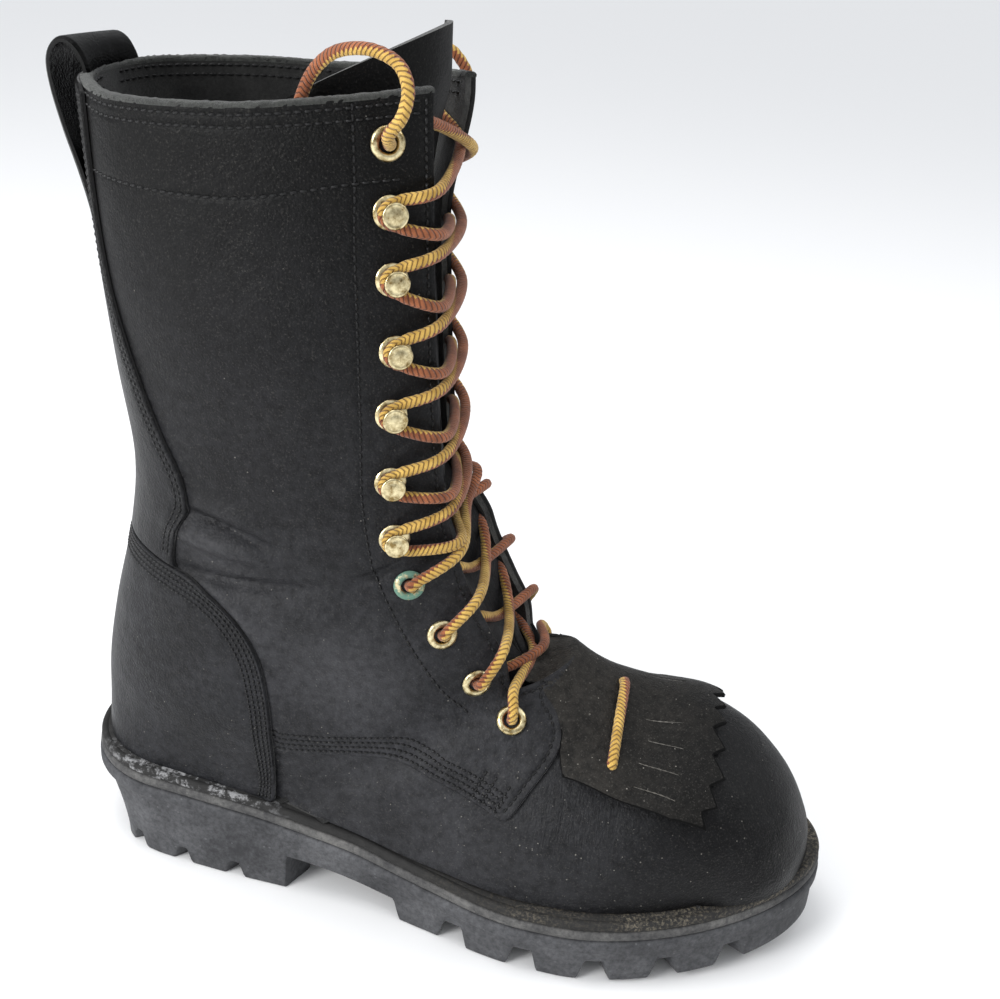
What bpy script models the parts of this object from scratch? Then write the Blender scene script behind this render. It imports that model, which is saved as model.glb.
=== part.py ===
"""Right work boot in black leather: tall laced shaft on a lugged rubber sole.

Millimetres in the tables and functions, metres in the meshes.
+X is the toe, +Y the medial side, +Z up; the floor is Z = 0.
"""
import bpy
import bmesh
import numpy as np
from mathutils import Vector
from mathutils.bvhtree import BVHTree

# driving dimensions
MM = 0.001
SOLE_LENGTH = 306.0
HEEL_END = -SOLE_LENGTH / 2
TOE_END = SOLE_LENGTH / 2
TOE_TIP_Y = 6.0
HEEL_ROUND = 45.0
TOE_ROUND = 93.0
HEEL_POWER = 2.2
TOE_POWER_LATERAL = 1.85
TOE_POWER_MEDIAL = 1.95
TOE_SPRING = 10.0
HEEL_BREAST = -55.5
FOREFOOT_BACK = -5.5
LUG_DEPTH = 9.0
WALL = 2.2
PANEL = 1.6
GAP = 0.3
MIDSOLE = 4.0
WELT = 3.6
LACE_RADIUS = 2.0

# sole edge: half widths to each side, between the round heel and toe
SOLE_X, SOLE_LATERAL, SOLE_MEDIAL = range(3)
SOLE_EDGE = (
    (-108.0, 43.0, 41.5),
    (-78.0, 45.0, 42.0),
    (-47.0, 45.5, 38.0),
    (-22.0, 46.0, 36.0),
    (3.0, 51.0, 40.0),
    (34.0, 58.0, 51.5),
    (60.0, 59.5, 58.2),
)
# heights of the outsole's top, and how far the upper stands in from the sole's edge
PROFILE_X, PROFILE_TOP, PROFILE_REVEAL = range(3)
SOLE_SIDE = (
    (-153.0, 36.0, 8.6),
    (-110.0, 34.5, 8.6),
    (-70.0, 33.0, 7.6),
    (-40.0, 28.5, 3.2),
    (-10.0, 23.0, 3.0),
    (30.0, 20.0, 5.6),
    (60.0, 20.0, 6.4),
    (90.0, 21.8, 6.4),
    (120.0, 25.0, 6.4),
    (153.0, 30.0, 6.4),
)


def smooth_rows(rows, at):
    """Catmull-Rom through a table whose rows sit at 0, 1, 2 and so on."""
    rows = np.asarray(rows, float)
    last = len(rows) - 1
    i = int(min(max(np.floor(at), 0), last - 1))
    t = at - i
    before = rows[i - 1] if i > 0 else 2 * rows[0] - rows[1]
    after = rows[i + 2] if i + 2 <= last else 2 * rows[last] - rows[last - 1]
    here, there = rows[i], rows[i + 1]
    return here + 0.5 * t * (there - before + t * (
        2 * before - 5 * here + 4 * there - after + t * (3 * (here - there) + after - before)))


def by_x(rows, x, column):
    """A column of a table whose first column is x, smooth between its rows."""
    xs = [row[0] for row in rows]
    x = min(max(x, xs[0]), xs[-1])
    at = float(np.interp(x, xs, range(len(xs))))
    return float(smooth_rows([row[column] for row in rows], at))


def blend(edge0, edge1, x):
    t = min(max((x - edge0) / (edge1 - edge0), 0.0), 1.0)
    return t * t * (3 - 2 * t)


def end_round(u, power):
    return (1 - min(max(u, 0.0), 1.0) ** power) ** (1 / power)


def sole_half(x, side, inset):
    """Distance of the sole's edge from its centre line; side is -1 lateral, 1 medial."""
    column = SOLE_LATERAL if side < 0 else SOLE_MEDIAL
    heel_start = HEEL_END + HEEL_ROUND
    toe_start = TOE_END - TOE_ROUND
    half = by_x(SOLE_EDGE, x, column) - inset
    if x < heel_start:
        half *= end_round((heel_start - x) / (HEEL_ROUND - inset), HEEL_POWER)
    if x > toe_start:
        power = TOE_POWER_LATERAL if side < 0 else TOE_POWER_MEDIAL
        half *= end_round((x - toe_start) / (TOE_ROUND - inset), power)
    return half


def sole_centre(x):
    return TOE_TIP_Y * blend(40.0, TOE_END, x)


def sole_y(x, side, inset):
    return sole_centre(x) + side * sole_half(x, side, inset)


def outsole_top(x):
    return by_x(SOLE_SIDE, x, PROFILE_TOP)


def welt_top(x):
    return outsole_top(x) + MIDSOLE + WELT + 2 * GAP


def reveal(x):
    return by_x(SOLE_SIDE, x, PROFILE_REVEAL)


def lug_floor(x):
    """Height of the lugs' feet: flat from heel to ball, then the toe spring."""
    return TOE_SPRING * max((x - 60.0) / (TOE_END - 60.0), 0.0) ** 1.6


def make_material(name, colour, roughness, metallic=0.0):
    material = bpy.data.materials.new(name)
    material.use_nodes = True
    shader = material.node_tree.nodes["Principled BSDF"]
    shader.inputs["Base Color"].default_value = (*colour, 1.0)
    shader.inputs["Roughness"].default_value = roughness
    shader.inputs["Metallic"].default_value = metallic
    material.diffuse_color = (*colour, 1.0)
    return material


for old in list(bpy.data.objects):
    bpy.data.objects.remove(old, do_unlink=True)

LEATHER = make_material("black leather", (0.022, 0.022, 0.024), 0.62)
RUBBER = make_material("black rubber", (0.045, 0.046, 0.05), 0.8)
WELT_LEATHER = make_material("dark welt leather", (0.04, 0.038, 0.036), 0.75)
LINING = make_material("insole board", (0.06, 0.05, 0.042), 0.85)
BRASS = make_material("brass", (0.62, 0.47, 0.2), 0.3, 1.0)
CORD = make_material("gold and rust cord", (0.5, 0.3, 0.08), 0.8)

boot = bpy.data.objects.new("boot", None)
bpy.context.scene.collection.objects.link(boot)


def make_object(name, points, faces, material, guide=False):
    """A mesh object from points in millimetres, its faces turned outwards."""
    mesh = bpy.data.meshes.new(name)
    mesh.from_pydata([tuple(float(c) * MM for c in p) for p in points], [], faces)
    edit = bmesh.new()
    edit.from_mesh(mesh)
    bmesh.ops.remove_doubles(edit, verts=edit.verts, dist=0.00001)
    bmesh.ops.recalc_face_normals(edit, faces=edit.faces)
    if edit.calc_volume(signed=True) < 0:
        bmesh.ops.reverse_faces(edit, faces=edit.faces)
    edit.to_mesh(mesh)
    edit.free()
    mesh.materials.append(material)
    mesh.shade_smooth()
    mesh.set_sharp_from_angle(angle=0.7)
    piece = bpy.data.objects.new(name, mesh)
    bpy.context.scene.collection.objects.link(piece)
    piece.parent = boot
    if guide:
        piece.hide_render = True
        piece.display_type = "WIRE"
    return piece


def cut(piece, cutter, operation):
    """Applies a Boolean with one cutter and removes the cutter."""
    modifier = piece.modifiers.new("cut", "BOOLEAN")
    modifier.operation = operation
    modifier.object = cutter
    modifier.solver = "EXACT"
    modifier.use_self = True
    bpy.context.view_layer.update()
    graph = bpy.context.evaluated_depsgraph_get()
    mesh = bpy.data.meshes.new_from_object(piece.evaluated_get(graph))
    piece.modifiers.clear()
    piece.data = mesh
    bpy.data.objects.remove(cutter, do_unlink=True)


def thicken(outer, inner, faces):
    """Closes two copies of one sheet into a wall: returns points and faces."""
    count = len(outer)
    edges = {}
    for face in faces:
        for a, b in zip(face, face[1:] + face[:1]):
            edges[(a, b)] = edges.get((a, b), 0) + 1
    solid = [list(face) for face in faces]
    solid += [[v + count for v in reversed(face)] for face in faces]
    for a, b in edges:
        if (b, a) not in edges:
            solid.append([b, a, a + count, b + count])
    return np.vstack([outer, inner]), solid


def sheet_normals(points, faces):
    """Vertex normals of a sheet, each the sum over the faces round it."""
    normals = np.zeros_like(points)
    for face in faces:
        corner = points[face]
        normal = np.cross(corner[2] - corner[0], corner[-1] - corner[1])
        if len(face) == 3:
            normal = np.cross(corner[1] - corner[0], corner[2] - corner[0])
        for v in face:
            normals[v] += normal
    return normals / np.linalg.norm(normals, axis=1)[:, None]


# Sole: rings that follow the edge at several insets and heights

SIDE_STEP = 1.2
LUG_INSET = 15.0
GAP_SLOPE = 2.6
# gaps between lugs: middle, width at the floor, depth
GAP_X, GAP_WIDTH, GAP_DEPTH = range(3)
LUG_GAPS = (
    (-124.5, 9.0, 6.5),
    (-102.5, 9.0, 6.5),
    (-78.5, 9.0, 6.5),
    (17.5, 12.5, LUG_DEPTH),
    (46.5, 12.5, LUG_DEPTH),
    (74.5, 12.5, LUG_DEPTH),
    (100.5, 11.0, LUG_DEPTH),
    (124.5, 11.0, LUG_DEPTH),
)


def shank_floor(x):
    """Underside of the shank between the heel's breast and the forefoot's lugs."""
    return 9.0 + 6.5 * blend(FOREFOOT_BACK, HEEL_BREAST, x)


def sole_stations():
    """x of the points round the edge, with the height of the tread's edge there."""
    rows = [(HEEL_END, 0.0)]
    heel_start = HEEL_END + HEEL_ROUND
    for angle in (80.0, 68.0, 55.0):
        rows.append((heel_start - HEEL_ROUND * np.sin(np.radians(angle)), 0.0))
    for middle, width, depth in LUG_GAPS:
        foot = lug_floor(middle)
        rows.append((middle - width / 2, foot))
        rows.append((middle - width / 2 + GAP_SLOPE, foot + depth))
        rows.append((middle + width / 2 - GAP_SLOPE, foot + depth))
        rows.append((middle + width / 2, foot))
    rows.append((HEEL_BREAST - 0.6, 0.0))
    rows.append((HEEL_BREAST, shank_floor(HEEL_BREAST)))
    rows.append((-38.0, shank_floor(-38.0)))
    rows.append((-22.0, shank_floor(-22.0)))
    rows.append((FOREFOOT_BACK - 4.0, shank_floor(FOREFOOT_BACK - 4.0)))
    rows.append((FOREFOOT_BACK, 0.0))
    rows.append((32.0, 0.0))
    rows.append((60.0, 0.0))
    toe_start = TOE_END - TOE_ROUND
    for angle in (64.0, 74.0, 82.0):
        x = toe_start + TOE_ROUND * np.sin(np.radians(angle))
        rows.append((x, lug_floor(x)))
    rows.append((TOE_END, lug_floor(TOE_END)))
    return sorted(rows)


def edge_ring(xs, inset, height):
    """Points once round the edge: lateral from heel to toe, then medial back."""
    near_heel, near_toe = HEEL_END + inset, TOE_END - inset
    ring = []
    for side in (-1, 1):
        for i, x in enumerate(xs):
            end = i in (0, len(xs) - 1)
            if end and side > 0:
                continue
            x_in = near_heel + (x - HEEL_END) / SOLE_LENGTH * (near_toe - near_heel)
            y = sole_centre(x_in) if end else sole_y(x_in, side, inset)
            ring.append((x_in, y, height(i, x)))
    count = len(xs)
    return ring[:count] + ring[count:][::-1]


def ring_cap(count, first, flip):
    """Faces that close a ring of points by strips across the sole."""
    total = 2 * count - 2
    faces = [[first, first + 1, first + total - 1]]
    for i in range(1, count - 2):
        faces.append([first + i, first + i + 1, first + total - i - 1, first + total - i])
    faces.append([first + count - 2, first + count - 1, first + count])
    return [face[::-1] for face in faces] if flip else faces


def ring_stack(xs, rings):
    """Solid through rings from bottom to top, closed by strips at both ends."""
    count = len(xs)
    total = 2 * count - 2
    points = [point for ring in rings for point in ring]
    faces = ring_cap(count, 0, True)
    for k in range(len(rings) - 1):
        for i in range(total):
            j = (i + 1) % total
            faces.append([k * total + i, k * total + j, (k + 1) * total + j, (k + 1) * total + i])
    faces += ring_cap(count, (len(rings) - 1) * total, False)
    return points, faces


def make_outsole():
    stations = sole_stations()
    xs = [x for x, _ in stations]
    tread = [z for _, z in stations]

    def heel_taper(x):
        return 11.0 * blend(-100.0, HEEL_END, x) + 1.5

    def web(i, x):
        if HEEL_BREAST <= x <= FOREFOOT_BACK:
            return max(tread[i] + 0.4, shank_floor(x) + 0.4)
        return lug_floor(x) + LUG_DEPTH

    def shoulder(i, x):
        return outsole_top(x) - 6.0

    def ring(inset, height):
        return edge_ring(xs, inset, height)

    def tapered(height, low, extra=0.0):
        points = ring(extra, height)
        moved = []
        for x, y, z in points:
            pull = low * heel_taper(x)
            moved.append((x + pull * blend(-120.0, HEEL_END, x), y * (1 - pull / 90.0), z))
        return moved

    rings = [
        tapered(web, 1.0, LUG_INSET + 3.0),
        tapered(lambda i, x: tread[i], 1.0, LUG_INSET),
        tapered(lambda i, x: tread[i], 1.0, SIDE_STEP),
        tapered(lambda i, x: max(web(i, x), tread[i]) + 1.5, 0.7, SIDE_STEP),
        tapered(shoulder, 0.15, SIDE_STEP),
        ring(0.0, lambda i, x: shoulder(i, x) + 1.0),
        ring(0.0, lambda i, x: outsole_top(x) - 1.0),
        ring(1.0, lambda i, x: outsole_top(x)),
    ]
    points, faces = ring_stack(xs, rings)
    return make_object("outsole", points, faces, RUBBER)


def layer_stations(count):
    middle = np.linspace(-1.0, 1.0, count)
    return list(HEEL_END + SOLE_LENGTH / 2 * (1 + np.sin(middle * np.pi / 2)))


def make_layer(name, material, inset, low, high, bevel):
    """A sheet of the sole's outline with a softened edge."""
    xs = layer_stations(27)
    rings = [
        edge_ring(xs, inset + bevel, lambda i, x: low(x)),
        edge_ring(xs, inset, lambda i, x: low(x) + bevel),
        edge_ring(xs, inset, lambda i, x: high(x) - bevel),
        edge_ring(xs, inset + bevel, lambda i, x: high(x)),
    ]
    points, faces = ring_stack(xs, rings)
    return make_object(name, points, faces, material)


make_outsole()
make_layer("midsole", RUBBER, 0.6, lambda x: outsole_top(x) + GAP,
           lambda x: outsole_top(x) + GAP + MIDSOLE, 0.6)


def varied_ring(xs, inset_at, height):
    """A ring whose inset changes along the boot."""
    points = []
    for i, (x, _, _) in enumerate(edge_ring(xs, 0.0, height)):
        side = -1 if i < len(xs) else 1
        inset = inset_at(x)
        x_in = (x - HEEL_END) / SOLE_LENGTH * (SOLE_LENGTH - 2 * inset) + HEEL_END + inset
        end = i in (0, len(xs) - 1)
        y_in = sole_centre(x_in) if end else sole_y(x_in, side, inset)
        points.append((x_in, y_in, height(i, x_in)))
    return points


def make_welt():
    """A flat strip round the edge, open in the middle, that carries the upper."""
    xs = layer_stations(27)

    def bottom(i, x):
        return welt_top(x) - WELT

    def top(i, x):
        return welt_top(x)

    def inner(x):
        return reveal(x) + WALL + 0.6

    total = 2 * len(xs) - 2
    loops = [
        varied_ring(xs, lambda x: 1.4, bottom),
        varied_ring(xs, lambda x: 1.0, lambda i, x: top(i, x) - 0.8),
        varied_ring(xs, lambda x: 1.8, top),
        varied_ring(xs, inner, top),
        varied_ring(xs, inner, bottom),
    ]
    points = [point for loop in loops for point in loop]
    faces = []
    for k in range(len(loops)):
        after = (k + 1) % len(loops)
        for i in range(total):
            j = (i + 1) % total
            faces.append([k * total + i, k * total + j, after * total + j, after * total + i])
    return make_object("welt", points, faces, WELT_LEATHER)


make_welt()

# Upper: sections from the collar down to the heel are closed loops through a front point
# (shin, instep), the widest points of the sides and a back point; from the heel forward they
# are arches over the foot, from a ridge point down to the feather line on the welt, and their
# back point only carries the heel's line on.
FRONT_X, FRONT_Z, SIDE_X, SIDE_Z, BACK_X, BACK_Z, LATERAL, MEDIAL, POWER, RIDGE, BULGE = range(11)
UPPER_SECTIONS = (
    (-9.0, 346.0, -72.0, 340.0, -143.5, 334.0, 49.0, 49.0, 2.2, 0.0, 0.0),
    (-8.0, 316.0, -72.0, 308.0, -142.0, 303.5, 48.0, 48.0, 2.2, 0.0, 0.0),
    (-5.0, 265.0, -68.0, 258.0, -138.0, 255.0, 47.5, 47.5, 2.2, 0.0, 0.0),
    (-1.0, 217.0, -64.0, 211.0, -132.5, 208.0, 46.0, 46.0, 2.2, 0.0, 0.0),
    (5.0, 175.0, -60.0, 169.0, -127.5, 172.0, 43.5, 43.5, 2.2, 1.0, 0.0),
    (14.0, 148.0, -58.0, 138.0, -131.0, 140.0, 42.0, 42.0, 2.2, 2.0, 0.0),
    (24.0, 130.0, -57.0, 106.0, -139.5, 104.0, 42.0, 42.0, 2.2, 4.0, 0.0),
    (32.0, 119.0, -57.5, 74.0, -144.2, 74.0, 42.5, 41.0, 2.2, 5.0, 0.0),
    (40.0, 110.0, -58.0, 40.0, -144.4, 44.0, 39.0, 34.0, 2.2, 6.0, 2.5),
    (48.0, 104.0, -30.0, 35.0, -144.6, 14.0, 42.0, 34.0, 2.2, 6.5, 5.0),
    (57.0, 98.5, 0.0, 30.0, -144.6, 14.0, 46.0, 36.0, 2.2, 7.0, 6.0),
    (68.0, 93.5, 30.0, 28.5, -144.6, 14.0, 52.0, 43.0, 2.2, 7.5, 4.5),
    (82.0, 90.0, 56.0, 28.5, -144.6, 14.0, 53.0, 48.0, 2.2, 8.0, 3.5),
    (101.0, 87.5, 80.0, 29.5, -144.6, 14.0, 50.0, 47.0, 2.3, 7.0, 3.0),
    (120.0, 79.5, 97.0, 31.0, -144.6, 14.0, 45.0, 44.0, 2.3, 6.0, 2.5),
    (136.0, 65.0, 105.0, 32.0, -144.6, 14.0, 42.0, 42.0, 2.2, 5.0, 1.5),
    (145.0, 49.0, 107.5, 32.5, -144.6, 14.0, 41.0, 42.0, 2.1, 4.0, 0.6),
    (147.0, 38.0, 108.0, 33.0, -144.6, 14.0, 40.0, 42.0, 2.0, 4.0, 0.0),
)
COLLAR = 1.0
HEEL_FEATHER = 8.0
TOE_FEATHER = len(UPPER_SECTIONS) - 1.0
BACK_POWER = 2.25
FEATHER_GAP = 0.9
UPRIGHT_HEIGHT = 6.0
THROAT_END = 8.7
THROAT_ROUND = 0.7
THROAT_HALF = 25.0
THROAT_HALF_LOW = 22.0
THROAT_CLEAR = 0.22
THROAT_COLUMNS = 3
FRONT_COLUMNS = 8
COLUMNS = 13


def feather_half(x, side):
    """Half width of the line where the upper meets the welt."""
    return max(sole_half(x, side, reveal(x)), 0.0)


def skin_point(s, a):
    """Point of the upper's skin: s along the sections, a from -1 (lateral) to 1 (medial).

    A half runs from the front or ridge at 0 to the widest point or the feather line at 0.5,
    and on to the back of the heel and shaft at 1.
    """
    row = smooth_rows(UPPER_SECTIONS, s)
    side = -1 if a < 0 else 1
    half = abs(a)
    low = blend(HEEL_FEATHER - 1.0, HEEL_FEATHER, s)
    width = row[LATERAL] if side < 0 else row[MEDIAL]
    width += low * (feather_half(row[SIDE_X], side) - width)
    if half <= 0.5:
        angle = half * np.pi
        along = 1 - np.cos(angle) ** (2 / row[POWER])
        x = row[FRONT_X] + along * (row[SIDE_X] - row[FRONT_X])
        z = row[FRONT_Z] + along * (row[SIDE_Z] - row[FRONT_Z])
        across = width * np.sin(angle) ** (2 / row[POWER])
        across += row[BULGE] * np.sin(2 * angle) * np.sin(angle) ** 2
    else:
        angle = (half - 0.5) * np.pi
        along = np.sin(angle) ** (2 / BACK_POWER)
        x = row[SIDE_X] + along * (row[BACK_X] - row[SIDE_X])
        z = row[SIDE_Z] + along * (row[BACK_Z] - row[SIDE_Z])
        across = width * max(np.cos(angle), 0.0) ** (2 / BACK_POWER)
        across += low * (feather_half(x, side) - across)
    y = side * across + row[RIDGE] * (1 - blend(0.0, 0.5, half))
    if s >= HEEL_FEATHER:
        y += sole_centre(x) * blend(0.2, 0.5, half)
        z = max(z, welt_top(x) + FEATHER_GAP)
        if half >= 0.5 or s >= TOE_FEATHER:
            z = welt_top(x) + FEATHER_GAP
    return np.array((x, y, z))


def throat_edge(s):
    """a of the throat's edge: a wide slit that closes in a round end on the vamp."""
    if s >= THROAT_END:
        return 0.0
    row = smooth_rows(UPPER_SECTIONS, s)
    half = THROAT_HALF + (THROAT_HALF_LOW - THROAT_HALF) * blend(COLLAR, THROAT_END, s)
    half *= end_round(1 - (THROAT_END - s) / THROAT_ROUND, 2.0) if s > THROAT_END - THROAT_ROUND else 1.0
    return float(np.arcsin(min(half / row[LATERAL], 1.0) ** (row[POWER] / 2)) / np.pi)


def column_a(j, s):
    """a of a grid column: the first few follow the throat's edge, the others stay put."""
    if j < THROAT_COLUMNS:
        first = throat_edge(s)
        return first + (THROAT_CLEAR - first) * j / THROAT_COLUMNS
    if j <= FRONT_COLUMNS:
        return THROAT_CLEAR + (0.5 - THROAT_CLEAR) * (j - THROAT_COLUMNS) / (FRONT_COLUMNS - THROAT_COLUMNS)
    return 0.5 + 0.5 * (j - FRONT_COLUMNS) / (COLUMNS - FRONT_COLUMNS)


def skin_sheet(rows):
    """Grid over the whole upper: points and triangles."""
    points, faces, index = [], [], {}
    for i, s in enumerate(rows):
        last = COLUMNS if s <= HEEL_FEATHER else FRONT_COLUMNS
        for side in (-1, 1):
            for j in range(last + 1):
                ridge = j == 0 and s >= THROAT_END
                if side > 0 and (ridge or j == COLUMNS):
                    index[i, side, j] = index[i, -1, j]
                    continue
                index[i, side, j] = len(points)
                points.append(skin_point(s, side * column_a(j, s)))
    for i in range(len(rows) - 1):
        last = COLUMNS if rows[i + 1] <= HEEL_FEATHER else FRONT_COLUMNS
        for side in (-1, 1):
            for j in range(last):
                here, below = index[i, side, j], index[i + 1, side, j]
                beside, across = index[i, side, j + 1], index[i + 1, side, j + 1]
                for face in ([here, below, across], [here, across, beside]):
                    if len(set(face)) == 3:
                        faces.append(face if side > 0 else face[::-1])
    return np.array(points), faces


UPPER_ROWS = [COLLAR, 2.0, 3.0, 4.0, 5.0, 6.0, 7.0, 7.5, HEEL_FEATHER, 8.4, THROAT_END, 9.0, 9.5, 10.0,
              11.0, 12.0, 13.0, 13.5, 14.0, 14.5, 15.0, 15.5, 16.0, 16.5, TOE_FEATHER]
skin, skin_faces = skin_sheet(UPPER_ROWS)
skin_normal = sheet_normals(skin, skin_faces)
# the wall stands upright where it comes down to the welt
for point, normal in zip(skin, skin_normal):
    height = point[2] - welt_top(point[0]) - FEATHER_GAP
    normal[2] *= min(max(height / UPRIGHT_HEIGHT, 0.0), 1.0)
skin_normal /= np.linalg.norm(skin_normal, axis=1)[:, None]


def shell(name, material, low, high):
    """The wall between two lifts of the upper's skin."""
    points, faces = thicken(skin + high * skin_normal, skin + low * skin_normal, skin_faces)
    return make_object(name, points, faces, material)


shell("upper", LEATHER, -WALL, 0.0)

# Insole: a thick board inside the welt, under the foot
INSOLE_CLEAR = 1.3
INSOLE_RISE = 3.0


def make_insole():
    xs = layer_stations(25)

    def edge(x):
        return reveal(x) + WALL + INSOLE_CLEAR

    rings = [
        varied_ring(xs, edge, lambda i, x: outsole_top(x) + MIDSOLE + 2 * GAP),
        varied_ring(xs, edge, lambda i, x: welt_top(x) + INSOLE_RISE - 1.0),
        varied_ring(xs, lambda x: edge(x) + 1.0, lambda i, x: welt_top(x) + INSOLE_RISE),
    ]
    points, faces = ring_stack(xs, rings)
    return make_object("insole", points, faces, LINING)


make_insole()

# Tongue: a wide sheet inside the throat that leans in at the collar and rises above it
TONGUE_CLEAR = 0.9
TONGUE_LEAN = 6.0
TONGUE_DIP = 2.0
# how far its middle lies in from a full round, at the shaft and at the instep
TONGUE_FLAT_HIGH = 8.0
TONGUE_FLAT_LOW = 13.0
TONGUE_FLAT_HALF = 0.19
TONGUE_THICK = 2.0
# edges of the tongue along the sections, lateral and medial
TONGUE_S, TONGUE_LATERAL, TONGUE_MEDIAL = range(3)
TONGUE_EDGES = (
    (0.0, -0.42, 0.10),
    (1.0, -0.46, 0.12),
    (2.0, -0.40, 0.24),
    (4.0, -0.32, 0.27),
    (7.0, -0.27, 0.27),
    (9.2, -0.22, 0.22),
)
TONGUE_TOP = 0.46
TONGUE_TOP_DROP = 0.58
TONGUE_END = 9.2


def tongue_sheet(rows, columns):
    """Points and faces of the tongue's front, from the sloping top edge to the vamp."""
    points, faces = [], []
    for i in range(rows + 1):
        for j in range(columns + 1):
            across = j / columns
            start = TONGUE_TOP + TONGUE_TOP_DROP * (1 - across) ** 2.2
            s = start + (TONGUE_END - start) * i / rows
            left = by_x(TONGUE_EDGES, s, TONGUE_LATERAL)
            right = by_x(TONGUE_EDGES, s, TONGUE_MEDIAL)
            a = left + (right - left) * across
            lean = TONGUE_LEAN * blend(2.6, 0.9, s) + TONGUE_DIP * blend(6.0, 8.0, s)
            flat = TONGUE_FLAT_HIGH + (TONGUE_FLAT_LOW - TONGUE_FLAT_HIGH) * blend(3.6, 5.0, s)
            flat *= blend(0.9, 1.6, s) * blend(9.2, 8.2, s)
            lean += flat * max(1 - (a / TONGUE_FLAT_HALF) ** 2, 0.0)
            points.append(lifted(s, a, -WALL - TONGUE_CLEAR - lean))
    wide = columns + 1
    for i in range(rows):
        for j in range(columns):
            first = i * wide + j
            faces.append([first, first + wide, first + wide + 1, first + 1])
    return np.array(points), faces


def skin_normal_at(s, a):
    step_s, step_a = 0.05, 0.01
    along = skin_point(s + step_s, a) - skin_point(s - step_s, a)
    around = skin_point(s, a + step_a) - skin_point(s, a - step_a)
    normal = np.cross(along, around)
    return normal / np.linalg.norm(normal)


def lifted(s, a, lift):
    """A point off the upper's skin."""
    return skin_point(s, a) + lift * skin_normal_at(s, a)


def make_tongue():
    front, faces = tongue_sheet(14, 8)
    normal = sheet_normals(front, faces)
    points, solid = thicken(front, front - TONGUE_THICK * normal, faces)
    return make_object("tongue", points, solid, LEATHER)


make_tongue()

# Panels: cut between two lifts of the upper's skin by outlines drawn in side or top view
PANEL_LOW = GAP
PANEL_HIGH = GAP + PANEL
OVER_LOW = PANEL_HIGH + GAP
OVER_HIGH = OVER_LOW + PANEL
FAR = 220.0
ABOVE = FAR + 140.0
COUNTER_BACK = 139.0
# lower and front edge of the quarters in side view, from the counter to the throat
QUARTER_EDGE = (
    (-64.0, 0.0), (-64.0, 66.0), (-28.0, 69.2), (-9.0, 69.2), (8.0, 65.8), (25.0, 61.4),
    (33.5, 59.6), (41.0, 71.0), (46.8, 80.0), (48.4, 85.7), (44.5, 92.5), (39.0, 97.5),
)
# front and top edge of the counter in side view, from the welt to the back
COUNTER_EDGE = (
    (-58.5, 0.0), (-58.5, 60.0), (-59.3, 74.0), (-61.5, 90.0), (-66.5, 108.0), (-75.0, 122.0),
    (-87.0, 131.0), (-101.0, 135.2), (-118.0, 138.0),
)
# front edge of the backstay in side view, from the counter to the collar
BACKSTAY_EDGE = (
    (-102.0, 136.0), (-101.0, 146.0), (-96.5, 156.0), (-94.0, 166.0), (-96.5, 176.0), (-103.0, 188.0),
    (-110.0, 202.0), (-117.0, 219.0), (-122.5, 234.0), (-127.0, 250.0), (-129.5, 266.0), (-130.5, ABOVE),
)
# kiltie in top view: lateral edge, teeth of the pinked front, medial edge
KILTIE_BACK = 49.4
KILTIE_TEETH = 8
KILTIE_TOOTH = 6.0
KILTIE_LATERAL = -43.0
KILTIE_MEDIAL = 50.0


def prism(outline, low, high, axis):
    """A cutter: an outline in the side view (axis 1) or the top view (axis 2), drawn out along the axis."""
    count = len(outline)
    points = []
    for level in (low, high):
        for u, v in outline:
            points.append((u, level, v) if axis == 1 else (u, v, level))
    faces = [list(range(count)), list(range(2 * count - 1, count - 1, -1))]
    for i in range(count):
        j = (i + 1) % count
        faces.append([i, j, count + j, count + i])
    return make_object("cutter", points, faces, LEATHER)


def quarter_outline(forward):
    """Side view of a quarter, moved forward to leave room round it."""
    outline = list(QUARTER_EDGE) + [(QUARTER_EDGE[-1][0], ABOVE), (-FAR, ABOVE), (-FAR, 0.0)]
    return [(x + forward, z) for x, z in outline]


def make_quarter(name, side):
    panel = shell(name, LEATHER, PANEL_LOW, PANEL_HIGH)
    low, high = sorted((side * GAP / 2, side * FAR))
    cut(panel, prism(quarter_outline(0.0), low, high, 1), "INTERSECT")


def make_counter():
    panel = shell("counter", LEATHER, OVER_LOW, OVER_HIGH)
    outline = list(COUNTER_EDGE) + [(-FAR, COUNTER_BACK), (-FAR, 0.0)]
    cut(panel, prism(outline, -FAR, FAR, 1), "INTERSECT")


def make_backstay():
    panel = shell("backstay", LEATHER, OVER_LOW, OVER_HIGH)
    below = [(x, z + GAP) for x, z in COUNTER_EDGE[-2:]] + [(-FAR, COUNTER_BACK + GAP)]
    outline = list(BACKSTAY_EDGE) + [(-FAR, ABOVE)] + below[::-1]
    cut(panel, prism(outline, -FAR, FAR, 1), "INTERSECT")


def kiltie_outline():
    """Flap in top view: straight sides that widen forwards and a zigzag front."""
    edge = [(KILTIE_BACK + 3.5, KILTIE_LATERAL + 6.5)]
    pitch = (KILTIE_MEDIAL - KILTIE_LATERAL) / KILTIE_TEETH
    for tooth in range(KILTIE_TEETH):
        start = KILTIE_LATERAL + tooth * pitch
        bow = 4.5 * np.sin(np.pi * (tooth + 0.5) / KILTIE_TEETH)
        edge.append((103.5 + bow, start + 0.05 * pitch))
        edge.append((103.5 + bow - KILTIE_TOOTH, start + 0.62 * pitch))
    edge.append((102.0, KILTIE_MEDIAL))
    edge.append((KILTIE_BACK + 3.5, KILTIE_MEDIAL - 8.0))
    edge += [(KILTIE_BACK, 34.0), (45.0, 26.5), (39.6, 22.0)]
    edge += [(39.6, -15.0), (45.0, -22.5), (KILTIE_BACK, -30.0)]
    return edge


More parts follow.
